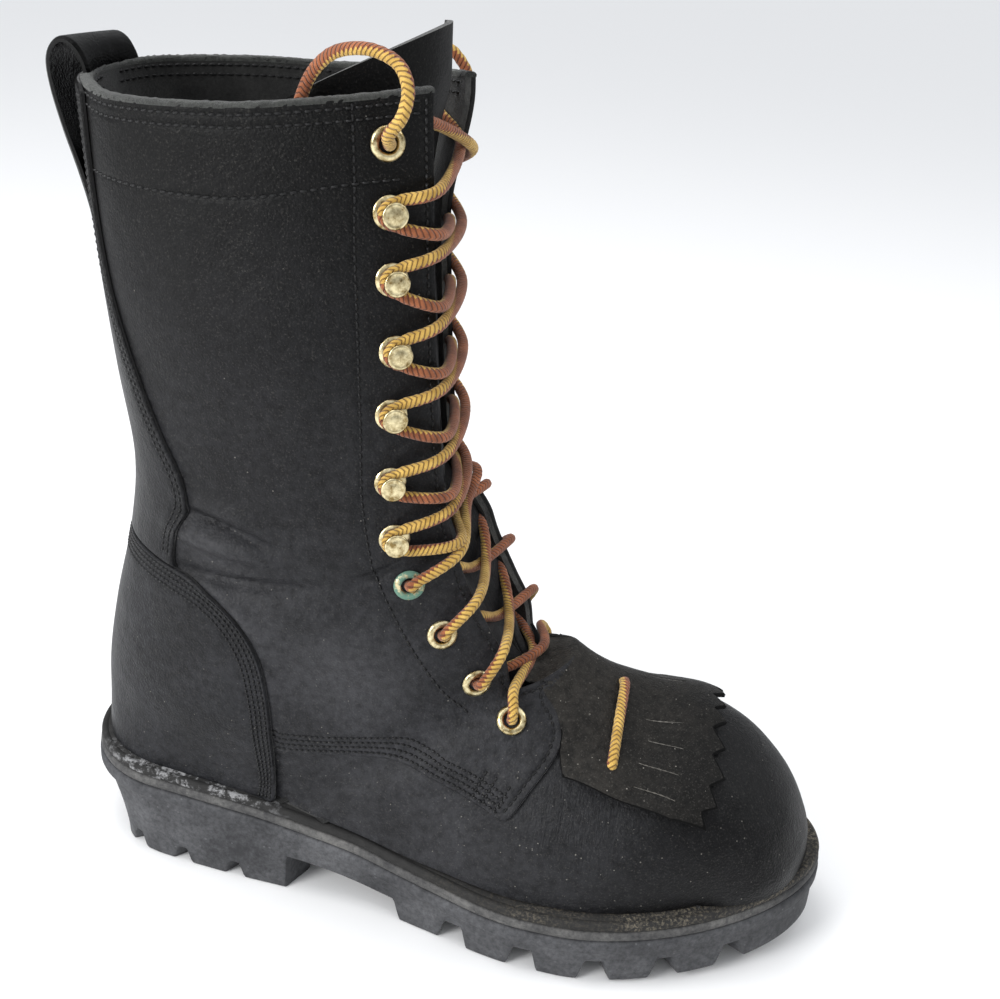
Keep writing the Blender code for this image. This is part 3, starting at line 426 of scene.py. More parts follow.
def scuffed_welt():
    material, tree, shader, place = new_material("scuffed_welt_leather")
    axes = node(tree, "SeparateXYZ", {"Vector": place})
    along, across = axes.outputs["X"], axes.outputs["Y"]
    sand = noise(tree, place, 900.0, 5.0, 0.75)
    drift = span(tree, noise(tree, place, 45.0, 3.0), 0.35, 0.6, 0.15, 0.9)
    sanded = reckon(tree, "MULTIPLY", span(tree, sand, 0.48, 0.62), drift)
    at_toe = reckon(tree, "MULTIPLY", sanded, span(tree, along, 0.0, 0.1))
    heel = reckon(tree, "MULTIPLY", span(tree, along, -0.052, -0.075), span(tree, along, -0.145, -0.125))
    outer_heel = reckon(tree, "MULTIPLY", heel, reckon(tree, "LESS_THAN", across, -0.02))
    flaked = span(tree, noise(tree, place, 250.0, 7.0, 0.75), 0.5, 0.6)
    base = mixed(tree, noise(tree, place, 300.0, 5.0), (0.008, 0.008, 0.008), (0.03, 0.029, 0.028))
    sandy = mixed(tree, at_toe, base, (0.22, 0.19, 0.14))
    dress(tree, shader, {
        "Base Color": mixed(tree, reckon(tree, "MULTIPLY", outer_heel, flaked), sandy, (0.26, 0.26, 0.265)),
        "Normal": relief(tree, sand, 0.6, 0.0005), "Roughness": 0.78, "Specular IOR Level": 0.3})
    return material


welt = make_piece("welt_strip", welt_points, welt_faces, [scuffed_welt()])
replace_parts(welt, "welt")

# Insole: a board of dark pressed leather that closes the boot under the foot; its cut edge is
# hidden by the upper.
insole_finish, tree, shader, place = new_material("insole_board")
insole_tone = noise(tree, place, 120.0, 6.0, 0.7)
dress(tree, shader, {
    "Base Color": mixed(tree, insole_tone, (0.02, 0.016, 0.013), (0.075, 0.06, 0.046)),
    "Normal": relief(tree, insole_tone, 0.3, 0.0004), "Roughness": 0.85})
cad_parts["insole"].data.materials.clear()
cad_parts["insole"].data.materials.append(insole_finish)

# Upper: one hollow boot of thick black oiled leather, blocked over a last and turned in at the
# welt. It is open at the collar and down the throat; its inner face is rough.

# s of the collar's cut line and of the lower edge at heel and toe, then the back's roundness
COLLAR, HEEL_FEATHER, TOE_FEATHER = 1.0, 8.0, 17.0
BACK_POWER = 2.25
# x and z of front, side and back, half widths lateral and medial, front roundness, ridge's y, bulge
UPPER_SECTIONS = np.array((
    (-9.0, 346.0, -72.0, 340.0, -143.5, 334.0, 49.0, 49.0, 2.2, 0.0, 0.0),
    (-8.0, 316.0, -72.0, 308.0, -142.0, 303.5, 48.0, 48.0, 2.2, 0.0, 0.0),
    (-5.0, 265.0, -68.0, 258.0, -138.0, 255.0, 47.5, 47.5, 2.2, 0.0, 0.0),
    (-1.0, 217.0, -64.0, 211.0, -132.5, 208.0, 46.0, 46.0, 2.2, 0.0, 0.0),
    (5.0, 175.0, -60.0, 169.0, -127.5, 172.0, 43.5, 43.5, 2.2, 1.0, 0.0),
    (14.0, 148.0, -58.0, 138.0, -131.0, 140.0, 42.0, 42.0, 2.2, 2.0, 0.0),
    (24.0, 130.0, -57.0, 106.0, -139.5, 104.0, 42.0, 42.0, 2.2, 4.0, 0.0),
    (32.0, 119.0, -57.5, 74.0, -144.2, 74.0, 42.5, 41.0, 2.2, 5.0, 0.0),
    (40.0, 110.0, -58.0, 40.0, -144.4, 44.0, 39.0, 34.0, 2.2, 6.0, 2.5),
    (48.0, 104.0, -30.0, 35.0, -144.6, 14.0, 42.0, 34.0, 2.2, 6.5, 5.0),
    (57.0, 98.5, 0.0, 30.0, -144.6, 14.0, 46.0, 36.0, 2.2, 7.0, 6.0),
    (68.0, 93.5, 30.0, 28.5, -144.6, 14.0, 52.0, 43.0, 2.2, 7.5, 4.5),
    (82.0, 90.0, 56.0, 28.5, -144.6, 14.0, 53.0, 48.0, 2.2, 8.0, 3.5),
    (101.0, 87.5, 80.0, 29.5, -144.6, 14.0, 50.0, 47.0, 2.3, 7.0, 3.0),
    (120.0, 79.5, 97.0, 31.0, -144.6, 14.0, 45.0, 44.0, 2.3, 6.0, 2.5),
    (136.0, 65.0, 105.0, 32.0, -144.6, 14.0, 42.0, 42.0, 2.2, 5.0, 1.5),
    (145.0, 49.0, 107.5, 32.5, -144.6, 14.0, 41.0, 42.0, 2.1, 4.0, 0.6),
    (147.0, 38.0, 108.0, 33.0, -144.6, 14.0, 40.0, 42.0, 2.0, 4.0, 0.0)))
FEATHER_GAP = 0.9
UPRIGHT_HEIGHT = 6.0
THROAT_END, THROAT_ROUND = 8.7, 0.7
THROAT_HALF, THROAT_HALF_LOW = 25.0, 22.0
COLLAR_ROW_HEIGHT = 48.0
EYESTAY_DENT = 9.0
# a, and how far the worn collar stands above or below its cut line there
COLLAR_RISE = np.array((
    (-1.0, 6.0), (-0.85, 3.0), (-0.72, -0.8), (-0.5, -1.2), (-0.2, 0.0), (0.2, 0.4), (0.35, 2.0),
    (0.5, 4.5), (0.62, 6.5), (0.85, 7.4), (1.0, 6.0)))


def skin(s, a):
    """Points of the upper's skin: s along the sections, a from -1 (lateral) to 1 (medial)."""
    s, a = np.broadcast_arrays(np.asarray(s, float), np.asarray(a, float))
    shape = s.shape
    s, a = s.ravel(), (a.ravel() + 1) % 2 - 1
    s = s - by_x(COLLAR_RISE, a, 1) / COLLAR_ROW_HEIGHT * blend(2.5, COLLAR, s)
    (front_x, front_z, side_x, side_z, back_x, back_z,
     lateral, medial, power, ridge, bulge) = smooth_rows(UPPER_SECTIONS, s).T
    side = np.where(a < 0, -1.0, 1.0)
    half = np.abs(a)
    low = blend(HEEL_FEATHER - 1.0, HEEL_FEATHER, s)
    width = np.where(side < 0, lateral, medial)
    width = width + low * (sole_half(side_x, side, reveal(side_x)) - width)
    angle = np.minimum(half, 0.5) * np.pi
    along = 1 - np.maximum(np.cos(angle), 0.0) ** (2 / power)
    turn = np.maximum(half - 0.5, 0.0) * np.pi
    behind = np.sin(turn) ** (2 / BACK_POWER)
    in_front = half <= 0.5
    x = np.where(in_front, front_x + along * (side_x - front_x), side_x + behind * (back_x - side_x))
    z = np.where(in_front, front_z + along * (side_z - front_z), side_z + behind * (back_z - side_z))
    across = width * np.sin(angle) ** (2 / power) + bulge * np.sin(2 * angle) * np.sin(angle) ** 2
    across_back = width * np.maximum(np.cos(turn), 0.0) ** (2 / BACK_POWER)
    across_back += low * (np.maximum(sole_half(x, side, reveal(x)), 0.0) - across_back)
    across = np.where(in_front, across, across_back)
    y = side * across + ridge * (1 - blend(0.0, 0.5, half))
    # the laces have pulled the inner side of the shaft's front in
    dent = blend(1.1, 2.0, s) * blend(4.9, 3.9, s) * blend(-0.12, 0.06, a) * blend(0.48, 0.28, a)
    x = x - EYESTAY_DENT * dent
    foot = s >= HEEL_FEATHER
    y = np.where(foot, y + sole_centre(x) * blend(0.2, 0.5, half), y)
    rest = welt_top(x) + FEATHER_GAP
    z = np.where(foot, np.maximum(z, rest), z)
    z = np.where(foot & ((half >= 0.5) | (s >= TOE_FEATHER)), rest, z)
    return np.stack([x, y, z], -1).reshape(shape + (3,))


def unit(rows):
    """Vectors scaled to length one."""
    return rows / np.maximum(np.linalg.norm(rows, axis=-1, keepdims=True), 1e-9)


def run_length(line):
    """How far along a line each of its points lies."""
    return np.concatenate([[0.0], np.cumsum(np.linalg.norm(np.diff(line, axis=0), axis=1))])


def skin_and_normal(s, a):
    """Points of the skin with their outward normals, upright where the leather meets the welt."""
    s, a = np.broadcast_arrays(np.asarray(s, float), np.asarray(a, float))
    step_s, step_a = 0.02, 0.004
    top = np.where((s <= HEEL_FEATHER) & (np.abs(a) > 0.5), HEEL_FEATHER, TOE_FEATHER)
    wide = np.where(s > HEEL_FEATHER, 0.5, 9.0)
    along = skin(np.minimum(s + step_s, top), a) - skin(s - step_s, a)
    around = skin(s, np.minimum(a + step_a, wide)) - skin(s, np.maximum(a - step_a, -wide))
    normal = unit(np.cross(along, around))
    points = skin(s, a)
    height = points[..., 2] - welt_top(points[..., 0]) - FEATHER_GAP
    normal[..., 2] *= np.clip(height / UPRIGHT_HEIGHT, 0.0, 1.0)
    return points, unit(normal)


def throat_edge(s):
    """a of the throat's edge: a wide slit that closes in a round end on the vamp."""
    s = np.asarray(s, float)
    row = smooth_rows(UPPER_SECTIONS, s.ravel())
    half = THROAT_HALF + (THROAT_HALF_LOW - THROAT_HALF) * blend(COLLAR, THROAT_END, s.ravel())
    half = half * end_round(1 - (THROAT_END - s.ravel()) / THROAT_ROUND, 2.0)
    a = np.arcsin(np.minimum(half / row[:, 6], 1.0) ** (row[:, 8] / 2)) / np.pi
    return np.where(s.ravel() >= THROAT_END, 0.0, a).reshape(s.shape)


# folds in side view: start, middle and end as x and z, then height (a trough is negative) and half width
FOLDS = (
    (-96.0, 160.5, -80.0, 158.5, -60.0, 153.0, -1.7, 2.6),
    (-100.0, 153.0, -81.0, 151.5, -58.0, 149.0, 2.1, 4.4),
    (-92.0, 168.0, -76.0, 165.0, -56.0, 160.0, 0.9, 4.0),
    (-99.5, 136.6, -74.0, 136.2, -40.0, 141.0, -1.9, 3.0),
    (-92.0, 134.0, -77.0, 127.5, -64.0, 112.0, 1.5, 3.6),
    (-70.0, 130.0, -52.0, 128.0, -34.0, 130.0, 1.1, 4.5),
    (-98.0, 143.0, -76.0, 143.5, -52.0, 145.0, -0.9, 4.0),
    (-34.0, 143.0, -24.0, 147.0, -15.0, 153.0, -0.8, 2.6),
    (-32.0, 150.0, -23.0, 153.0, -15.0, 159.0, 0.7, 2.4),
    (-54.0, 88.0, -24.0, 97.0, 4.0, 104.0, -0.9, 9.0),
    (-58.0, 112.0, -36.0, 115.0, -14.0, 119.0, 0.9, 8.0),
    (-110.0, 205.0, -70.0, 196.0, -34.0, 190.0, -0.6, 12.0),
    (-112.0, 240.0, -75.0, 236.0, -36.0, 238.0, 0.7, 14.0))
FINE_FOLD_HALF = 0.8
FINE_FOLDS = [(*row, FINE_FOLD_HALF) for row in (
    (-95.0, 163.5, -80.0, 160.5, -58.0, 154.5, -0.42), (-96.0, 161.0, -82.0, 158.3, -64.0, 153.3, -0.5),
    (-96.5, 158.4, -84.0, 156.3, -70.0, 152.6, -0.4), (-90.0, 155.6, -80.0, 154.0, -70.0, 151.0, -0.28),
    (-99.0, 138.6, -80.0, 138.4, -52.0, 139.5, -0.4), (-99.5, 136.6, -80.0, 136.3, -44.0, 138.6, -0.5),
    (-97.0, 134.8, -82.0, 134.2, -46.0, 135.4, -0.45), (-92.0, 132.6, -80.0, 131.8, -50.0, 132.6, -0.4),
    (-78.0, 129.6, -60.0, 129.6, -36.0, 131.6, -0.35), (-70.0, 127.0, -54.0, 126.6, -34.0, 128.4, -0.35),
    (-64.0, 124.2, -50.0, 123.6, -34.0, 125.4, -0.3), (-60.0, 121.2, -48.0, 120.6, -36.0, 121.8, -0.25),
    (-33.0, 146.0, -24.0, 149.0, -16.0, 155.0, -0.4), (-31.0, 143.4, -23.0, 146.4, -15.0, 151.6, -0.4),
    (-29.0, 140.6, -22.0, 143.4, -15.0, 148.4, -0.3))]
FOLD_SIDE_SHIFT, FOLD_DEPTH = 2.0, 1.9


def fold_heights(points, rows):
    """Height of soft troughs and ridges that run along given lines on both sides of the boot."""
    x, y, z = points[..., 0], points[..., 1], points[..., 2]
    z = z + np.where(y > 0, FOLD_SIDE_SHIFT, 0.0)
    lift = np.zeros(x.shape)
    t = np.linspace(0.0, 1.0, 41)
    for x0, z0, x1, z1, x2, z2, height, width in rows:
        line_x = (1 - t) ** 2 * x0 + t * (1 - t) * (4 * x1 - x0 - x2) + t ** 2 * x2
        line_z = (1 - t) ** 2 * z0 + t * (1 - t) * (4 * z1 - z0 - z2) + t ** 2 * z2
        reach = 3 * width
        near = (x > line_x.min() - reach) & (x < line_x.max() + reach) & (np.abs(y) > 12)
        near &= (z > line_z.min() - reach) & (z < line_z.max() + reach)
        if near.any():
            away = np.hypot(x[near][:, None] - line_x, z[near][:, None] - line_z)
            best = away.argmin(1)
            taper = np.sin(np.pi * np.clip(0.04 + 0.92 * t[best], 0.0, 1.0)) ** 0.6
            lift[near] += height * taper * np.exp(-(away.min(1) / width) ** 2)
    return lift


def folds(points):
    """How far the leather stands in or out of its even shape at skin points."""
    return FOLD_DEPTH * fold_heights(points, FOLDS)


def lifted(s, a, lift):
    """Points off the folded skin."""
    points, normal = skin_and_normal(s, a)
    return points + (np.asarray(lift) + folds(points))[..., None] * normal


def thicken(outer, inner, faces):
    """Closes two copies of one sheet into a wall; also says which faces are its rim."""
    count = len(outer)
    edges = set()
    for face in faces:
        edges.update(zip(face, face[1:] + face[:1]))
    solid = [list(face) for face in faces] + [[v + count for v in face[::-1]] for face in faces]
    rim = [[b, a, a + count, b + count] for a, b in edges if (b, a) not in edges]
    kind = [0] * len(faces) + [2] * len(faces) + [1] * len(rim)
    return np.vstack([outer, inner]), solid + rim, kind


def within(tree, place, centre, radius, core):
    """1 near a point, fading out at a radius."""
    away = node(tree, "VectorMath", {0: place, 1: centre}, operation="DISTANCE")
    return span(tree, away.outputs["Value"], radius, core * radius)


def oiled_leather(name, dark, light, roughness, dust=1.0, fine_wrinkles=None, shine=0.145, rubs_and_highlights=()):
    """Black oiled leather: pebbled grain, cloudy tone, dust specks, painted glints and painted light and
    shade; where asked, flex wrinkles and pale rubs that are partly painted highlight.
    """
    material, tree, shader, place = new_material(name)
    cloud, mottle = noise(tree, place, 26.0, 7.0, 0.62), noise(tree, place, 330.0, 4.0, 0.6)
    clean = mixed(tree, span(tree, reckon(tree, "MULTIPLY", cloud, mottle), 0.16, 0.36), dark, light)
    # pale patches on the fold ridges: partly rubbed wear, partly painted highlight where the folds catch the
    # light
    for centre, radius in rubs_and_highlights:
        rubbed_and_highlit = reckon(tree, "MULTIPLY", within(tree, place, centre, radius, 0.15), mottle)
        clean = mixed(tree, rubbed_and_highlit, clean, (0.05, 0.05, 0.054))
    axes = node(tree, "SeparateXYZ", {"Vector": place})
    # painted light and shade: the base colour is lighter near the floor and much darker towards the top and
    # towards the toe, as if lit from low at the heel side
    low = span(tree, axes.outputs["Z"], 0.08, 0.29, 1.4, 0.06)
    behind = span(tree, axes.outputs["X"], 0.015, 0.11, 1.0, 0.2)
    base = mixed(tree, 1.0, clean, reckon(tree, "MULTIPLY", low, behind), "MULTIPLY")
    rare = span(tree, axes.outputs["Z"], 0.05, 0.2, 1 - 0.4 * dust, 0.97)
    grit = reckon(tree, "MULTIPLY", specks(tree, place, rare, 0.02, 0.13), 0.65 * dust)
    # fine pale specks: partly dust, partly painted glints on the grain
    dust_and_glints = span(tree, noise(tree, place, 1300.0, 3.0, 0.8), 0.56, 0.74, 0.0, 0.2 * dust)
    pebble = node(tree, "TexVoronoi", {"Vector": place, "Scale": 1100.0}, feature="SMOOTH_F1")
    normal = relief(tree, noise(tree, place, 75.0, 3.0), 0.4, 0.0024)
    if fine_wrinkles is not None:
        centre, radius, direction = fine_wrinkles
        drawn_out = node(tree, "Mapping", {"Vector": place, "Rotation": direction,
                                           "Scale": (950.0, 160.0, 160.0)}).outputs["Vector"]
        lines = node(tree, "TexNoise", {"Vector": drawn_out, "Scale": 1.0, "Detail": 3.0,
                                        "Distortion": 0.6}).outputs["Fac"]
        flexed = reckon(tree, "MULTIPLY", lines, within(tree, place, centre, radius, 0.25))
        normal = relief(tree, flexed, 0.8, 0.0008, normal)
    normal = relief(tree, pebble.outputs["Distance"], 0.4, 0.0005, normal)
    dress(tree, shader, {
        "Base Color": mixed(tree, reckon(tree, "MAXIMUM", grit, dust_and_glints), base, (0.2, 0.19, 0.17)),
        "Normal": relief(tree, noise(tree, place, 2600.0, 3.0), 0.5, 0.00025, normal),
        "Roughness": span(tree, cloud, 0.3, 0.7, roughness - 0.07, roughness + 0.08),
        "Specular IOR Level": shine})
    return material


def raw_leather(name, dark, light, nap, sheen=0.25):
    """The rough side or a cut edge of the leather: fibrous, matte, a little paler."""
    material, tree, shader, place = new_material(name)
    fibre = noise(tree, place, 900.0, 6.0, 0.8)
    tone = reckon(tree, "MULTIPLY", fibre, noise(tree, place, 70.0, 5.0, 0.6))
    dress(tree, shader, {
        "Base Color": mixed(tree, span(tree, tone, 0.14, 0.38), dark, light),
        "Normal": relief(tree, fibre, 0.7, nap), "Roughness": 0.92, "Specular IOR Level": 0.15,
        "Sheen Weight": sheen, "Sheen Roughness": 0.5})
    return material


# where the vamp flexes: centre, radius and direction of its fine wrinkles
VAMP_FLEX = ((0.058, -0.047, 0.062), 0.028, (0.0, 0.0, 0.35))
vamp_leather = oiled_leather(
    "oiled_vamp_leather", (0.0095, 0.0096, 0.0107), (0.0225, 0.0227, 0.025), 0.47, 1.1, VAMP_FLEX)
cut_edge = raw_leather("cut_leather_edge", (0.02, 0.02, 0.02), (0.1, 0.1, 0.094), 0.0006)
dyed_edge = raw_leather("dyed_leather_edge", (0.004, 0.004, 0.004), (0.012, 0.012, 0.012), 0.0003)
rough_side = raw_leather("rough_inner_leather", (0.006, 0.006, 0.006), (0.026, 0.026, 0.025), 0.0007)


def upper_grid():
    """Dense grid over the whole upper, with the throat's slit; columns from the ridge to the back."""
    rows = np.concatenate([np.arange(COLLAR, 5.0, 0.125), np.arange(5.0, HEEL_FEATHER, 0.1),
                           np.arange(HEEL_FEATHER, THROAT_END, 0.1), np.arange(THROAT_END, 14.0, 0.1),
                           np.arange(14.0, TOE_FEATHER, 0.08), [TOE_FEATHER]])
    throat, front, behind = 8, 34, 22
    clear = 0.22
    index, s_list, a_list = {}, [], []
    for i, s in enumerate(rows):
        first = float(throat_edge(np.array([s]))[0])
        columns = list(first + (clear - first) * np.arange(throat) / throat)
        columns += list(np.linspace(clear, 0.5, front))
        if s <= HEEL_FEATHER + 1e-6:
            columns += list(0.5 + 0.5 * np.arange(1, behind + 1) / behind)
        for side in (-1, 1):
            for j, a in enumerate(columns):
                if side > 0 and ((j == 0 and first == 0.0) or a == 1.0):
                    index[i, side, j] = index[i, -1, j]
                    continue
                index[i, side, j] = len(s_list)
                s_list.append(s)
                a_list.append(side * a)
    faces = []
    for i in range(len(rows) - 1):
        for side in (-1, 1):
            j = 0
            while (i + 1, side, j + 1) in index and (i, side, j + 1) in index:
                corners = ((i, j), (i + 1, j), (i + 1, j + 1), (i, j + 1))
                face = list(dict.fromkeys(index[row, side, column] for row, column in corners))
                if len(face) > 2:
                    faces.append(face if side > 0 else face[::-1])
                j += 1
    return np.array(s_list), np.array(a_list), faces


upper_s, upper_a, upper_faces = upper_grid()
upper_points, upper_solid, upper_kind = thicken(
    lifted(upper_s, upper_a, 0.0), lifted(upper_s, upper_a, -WALL), upper_faces)
upper = make_piece("upper_shell", upper_points, upper_solid, [vamp_leather, cut_edge, rough_side],
                   indices=upper_kind)
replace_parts(upper, "upper")

# Tongue: a wide sheet of the same leather sewn in at the vamp, lying inside the throat. It has
# slipped towards the outer side, and its cut top edge stands above the collar.
TONGUE_CLEAR, TONGUE_LEAN, TONGUE_DIP, TONGUE_THICK = 0.9, 6.0, 2.0, 2.0
# how far its middle lies in from a full round, at the shaft and at the instep
TONGUE_FLAT_HIGH, TONGUE_FLAT_LOW, TONGUE_FLAT_HALF = 6.0, 13.6, 0.19
# s, lateral edge, medial edge
TONGUE_EDGES = np.array((
    (0.0, -0.42, 0.05), (0.55, -0.44, 0.15), (1.0, -0.46, 0.2), (2.0, -0.40, 0.24), (4.0, -0.32, 0.27),
    (7.0, -0.27, 0.27), (9.2, -0.22, 0.22)))
TONGUE_TOP, TONGUE_TOP_DROP, TONGUE_END = 0.46, 0.58, 9.2


def tongue_front(rows, columns):
    """The tongue's outer face, in from the skin: points, normals and faces."""
    across = np.tile(np.linspace(0.0, 1.0, columns), rows)
    share = np.repeat(np.linspace(0.0, 1.0, rows), columns)
    start = TONGUE_TOP + TONGUE_TOP_DROP * (1 - across) ** 2.2
    s = start + (TONGUE_END - start) * share
    left, right = by_x(TONGUE_EDGES, s, 1), by_x(TONGUE_EDGES, s, 2)
    a = left + (right - left) * across
    inward = WALL + TONGUE_CLEAR + TONGUE_LEAN * blend(2.6, 0.9, s) + TONGUE_DIP * blend(6.0, 8.0, s)
    flat = TONGUE_FLAT_HIGH + (TONGUE_FLAT_LOW - TONGUE_FLAT_HIGH) * blend(3.6, 5.0, s)
    flat = flat * blend(0.9, 1.6, s) * blend(9.2, 8.2, s)
    inward += flat * np.maximum(1 - (a / TONGUE_FLAT_HALF) ** 2, 0.0)
    inward += 0.7 * np.sin(1.7 * s + 5.0 * a) * blend(1.0, 3.0, s)
    points, normal = skin_and_normal(s, a)
    return points - inward[:, None] * normal, normal, sheet_faces(rows, columns)


tongue_points, tongue_normal, tongue_faces = tongue_front(150, 60)
tongue_points, tongue_solid, tongue_kind = thicken(
    tongue_points, tongue_points - TONGUE_THICK * tongue_normal, tongue_faces)
tongue_leather = oiled_leather("tongue_leather", (0.008, 0.008, 0.009), (0.017, 0.017, 0.018), 0.58, 0.6)
tongue = make_piece("tongue_panel", tongue_points, tongue_solid, [tongue_leather, cut_edge, rough_side],
                    indices=tongue_kind)
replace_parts(tongue, "tongue")

# Quarters: the tall outer sheets of the shaft, one each side, cut from the same leather and sewn
# over the upper along collar, eyestay and vamp.
PANEL_LOW, PANEL_HIGH = GAP, GAP + PANEL
OVER_LOW, OVER_HIGH = PANEL_HIGH + GAP, PANEL_HIGH + GAP + PANEL
EDGE_ROUND = 0.9
# steps along a panel's border, and how far in from it the finer rings of points lie
BORDER_STEP, BORDER_RINGS = 1.1, (0.3, 0.75, 1.4)
FURROW_DEPTH, FURROW_HALF = 0.4, 0.8
FINE_PITCH = 0.75
FINE_ZONES = [(*row[:6], 1.0, 1.1) for row in FINE_FOLDS]
# the lower front edge in side view, x and z
QUARTER_EDGE = (
    (-64.0, 66.0), (-28.0, 69.2), (-9.0, 69.2), (8.0, 65.8), (25.0, 61.4),
    (33.5, 59.6), (41.0, 71.0), (46.8, 80.0), (48.4, 85.7), (44.5, 92.5), (39.0, 97.5))
# millimetres of the pattern plane for a step of one in a
AROUND_MM = 160.0
length_s = np.linspace(0.2, TOE_FEATHER, 700)
length_mm = run_length(skin(length_s, -0.33))
search_s, search_a = (grid.ravel() for grid in np.meshgrid(np.linspace(0.9, TOE_FEATHER, 330),
                                                           np.linspace(0.0, 1.0, 161)))
search_keep = (search_a <= 0.5) | (search_s <= HEEL_FEATHER)
search_s, search_a = search_s[search_keep], search_a[search_keep]
search_points = {side: skin(search_s, side * search_a)[:, [0, 2]] for side in (-1, 1)}


def seen_at(places, axes, search, side):
    """s and a of the skin's points that lie at two coordinates, from the nearest of some known ones."""
    known_s, known_a, known = search
    places = np.asarray(places, float)
    near = [int(np.argmin(((known - place) ** 2).sum(1))) for place in places]
    s, a = known_s[near], known_a[near]
    for _ in range(8):
        here = skin(s, side * a)[:, axes]
        by_s = (skin(s + 0.01, side * a)[:, axes] - here) / 0.01
        by_a = (skin(s, side * (a - 0.002))[:, axes] - here) / -0.002
        miss = places - here
        size = by_s[:, 0] * by_a[:, 1] - by_s[:, 1] * by_a[:, 0]
        size = np.where(np.abs(size) < 1e-3, 1e-3, size)
        s = s + np.clip((miss[:, 0] * by_a[:, 1] - miss[:, 1] * by_a[:, 0]) / size, -0.1, 0.1)
        a = a + np.clip((by_s[:, 0] * miss[:, 1] - by_s[:, 1] * miss[:, 0]) / size, -0.02, 0.02)
        s, a = np.clip(s, known_s.min(), known_s.max()), np.clip(a, known_a.min(), known_a.max())
    return s, a


def seen_from_side(places, side):
    """s and |a| of the skin's points that lie at x and z in side view."""
    return seen_at(places, [0, 2], (search_s, search_a, search_points[side]), side)


def to_plane(s, around):
    """The pattern plane, about true to size: along the sections and round them."""
    return np.stack([np.interp(s, length_s, length_mm), AROUND_MM * np.asarray(around)], -1)


def from_plane(plane, over_back):
    s = np.interp(plane[:, 0], length_mm, length_s)
    around = plane[:, 1] / AROUND_MM
    if over_back:
        around = np.where(around < 0, -1 - around, 1 - around)
    return s, around


def dense(line, step, closed=False):
    """Points along a line at about even steps, its corners kept."""
    line = np.asarray(line, float)
    if closed:
        line = np.vstack([line, line[:1]])
    parts = []
    for start, end in zip(line[:-1], line[1:]):
        count = max(int(np.ceil(np.linalg.norm(end - start) / step)), 1)
        parts.append(start + (end - start) * (np.arange(count) / count)[:, None])
    return np.vstack(parts if closed else parts + [line[-1:]])


def rounded(line, step):
    """A smooth line through a few points, with even steps."""
    line = np.asarray(line, float)
    curve = smooth_rows(line, np.linspace(0.0, len(line) - 1, 40 * len(line)))
    length = run_length(curve)
    at = np.linspace(0.0, length[-1], max(int(length[-1] / step), 2))
    return np.stack([np.interp(at, length, curve[:, k]) for k in range(curve.shape[1])], 1)


def sideways(line, distance, closed=False):
    """A line beside a line, on its left where distance is positive."""
    ahead = np.roll(line, -1, axis=0) if closed else np.vstack([line[1:], 2 * line[-1:] - line[-2:-1]])
    behind = np.roll(line, 1, axis=0) if closed else np.vstack([2 * line[:1] - line[1:2], line[:-1]])
    run = unit(ahead - behind)
    return line + distance * np.stack([-run[:, 1], run[:, 0]], 1)


def beside(line, distance, over_back):
    """A line beside a line in the pattern plane, at a distance that is true on the boot."""
    step = 0.05

    def on_boot(u, v):
        return skin(*from_plane(line + np.array((u, v)), over_back))

    by_u = (on_boot(step, 0.0) - on_boot(-step, 0.0)) / (2 * step)
    by_v = (on_boot(0.0, step) - on_boot(0.0, -step)) / (2 * step)
    uu, uv, vv = (by_u * by_u).sum(1), (by_u * by_v).sum(1), (by_v * by_v).sum(1)
    run = sideways(line, 1.0) - line
    run = np.stack([run[:, 1], -run[:, 0]], 1)
    turned_u, turned_v = uu * run[:, 0] + uv * run[:, 1], uv * run[:, 0] + vv * run[:, 1]
    way = np.stack([-turned_v, turned_u], 1)
    size = np.sqrt(uu * way[:, 0] ** 2 + 2 * uv * way[:, 0] * way[:, 1] + vv * way[:, 1] ** 2)
    return line + distance * way / size[:, None]


def nearest(tree_points, points):
    """Distance of points from the nearest of some others."""
    tree = KDTree(len(tree_points))
    flat = tree_points.shape[1] == 2
    for i, p in enumerate(tree_points.tolist()):
        tree.insert((*p, 0.0) if flat else p, i)
    tree.balance()
    return np.array([tree.find((*p, 0.0) if flat else p)[2] for p in points.tolist()])


def inside(points, outline):
    """Which points lie inside a closed outline."""
    x, y = points[:, 0], points[:, 1]
    hit = np.zeros(len(points), bool)
    for (x0, y0), (x1, y1) in zip(outline, np.roll(outline, -1, axis=0)):
        crosses = (y0 > y) != (y1 > y)
        if crosses.any():
            hit ^= crosses & (x < (x1 - x0) * (y - y0) / (y1 - y0 + 1e-12) + x0)
    return hit


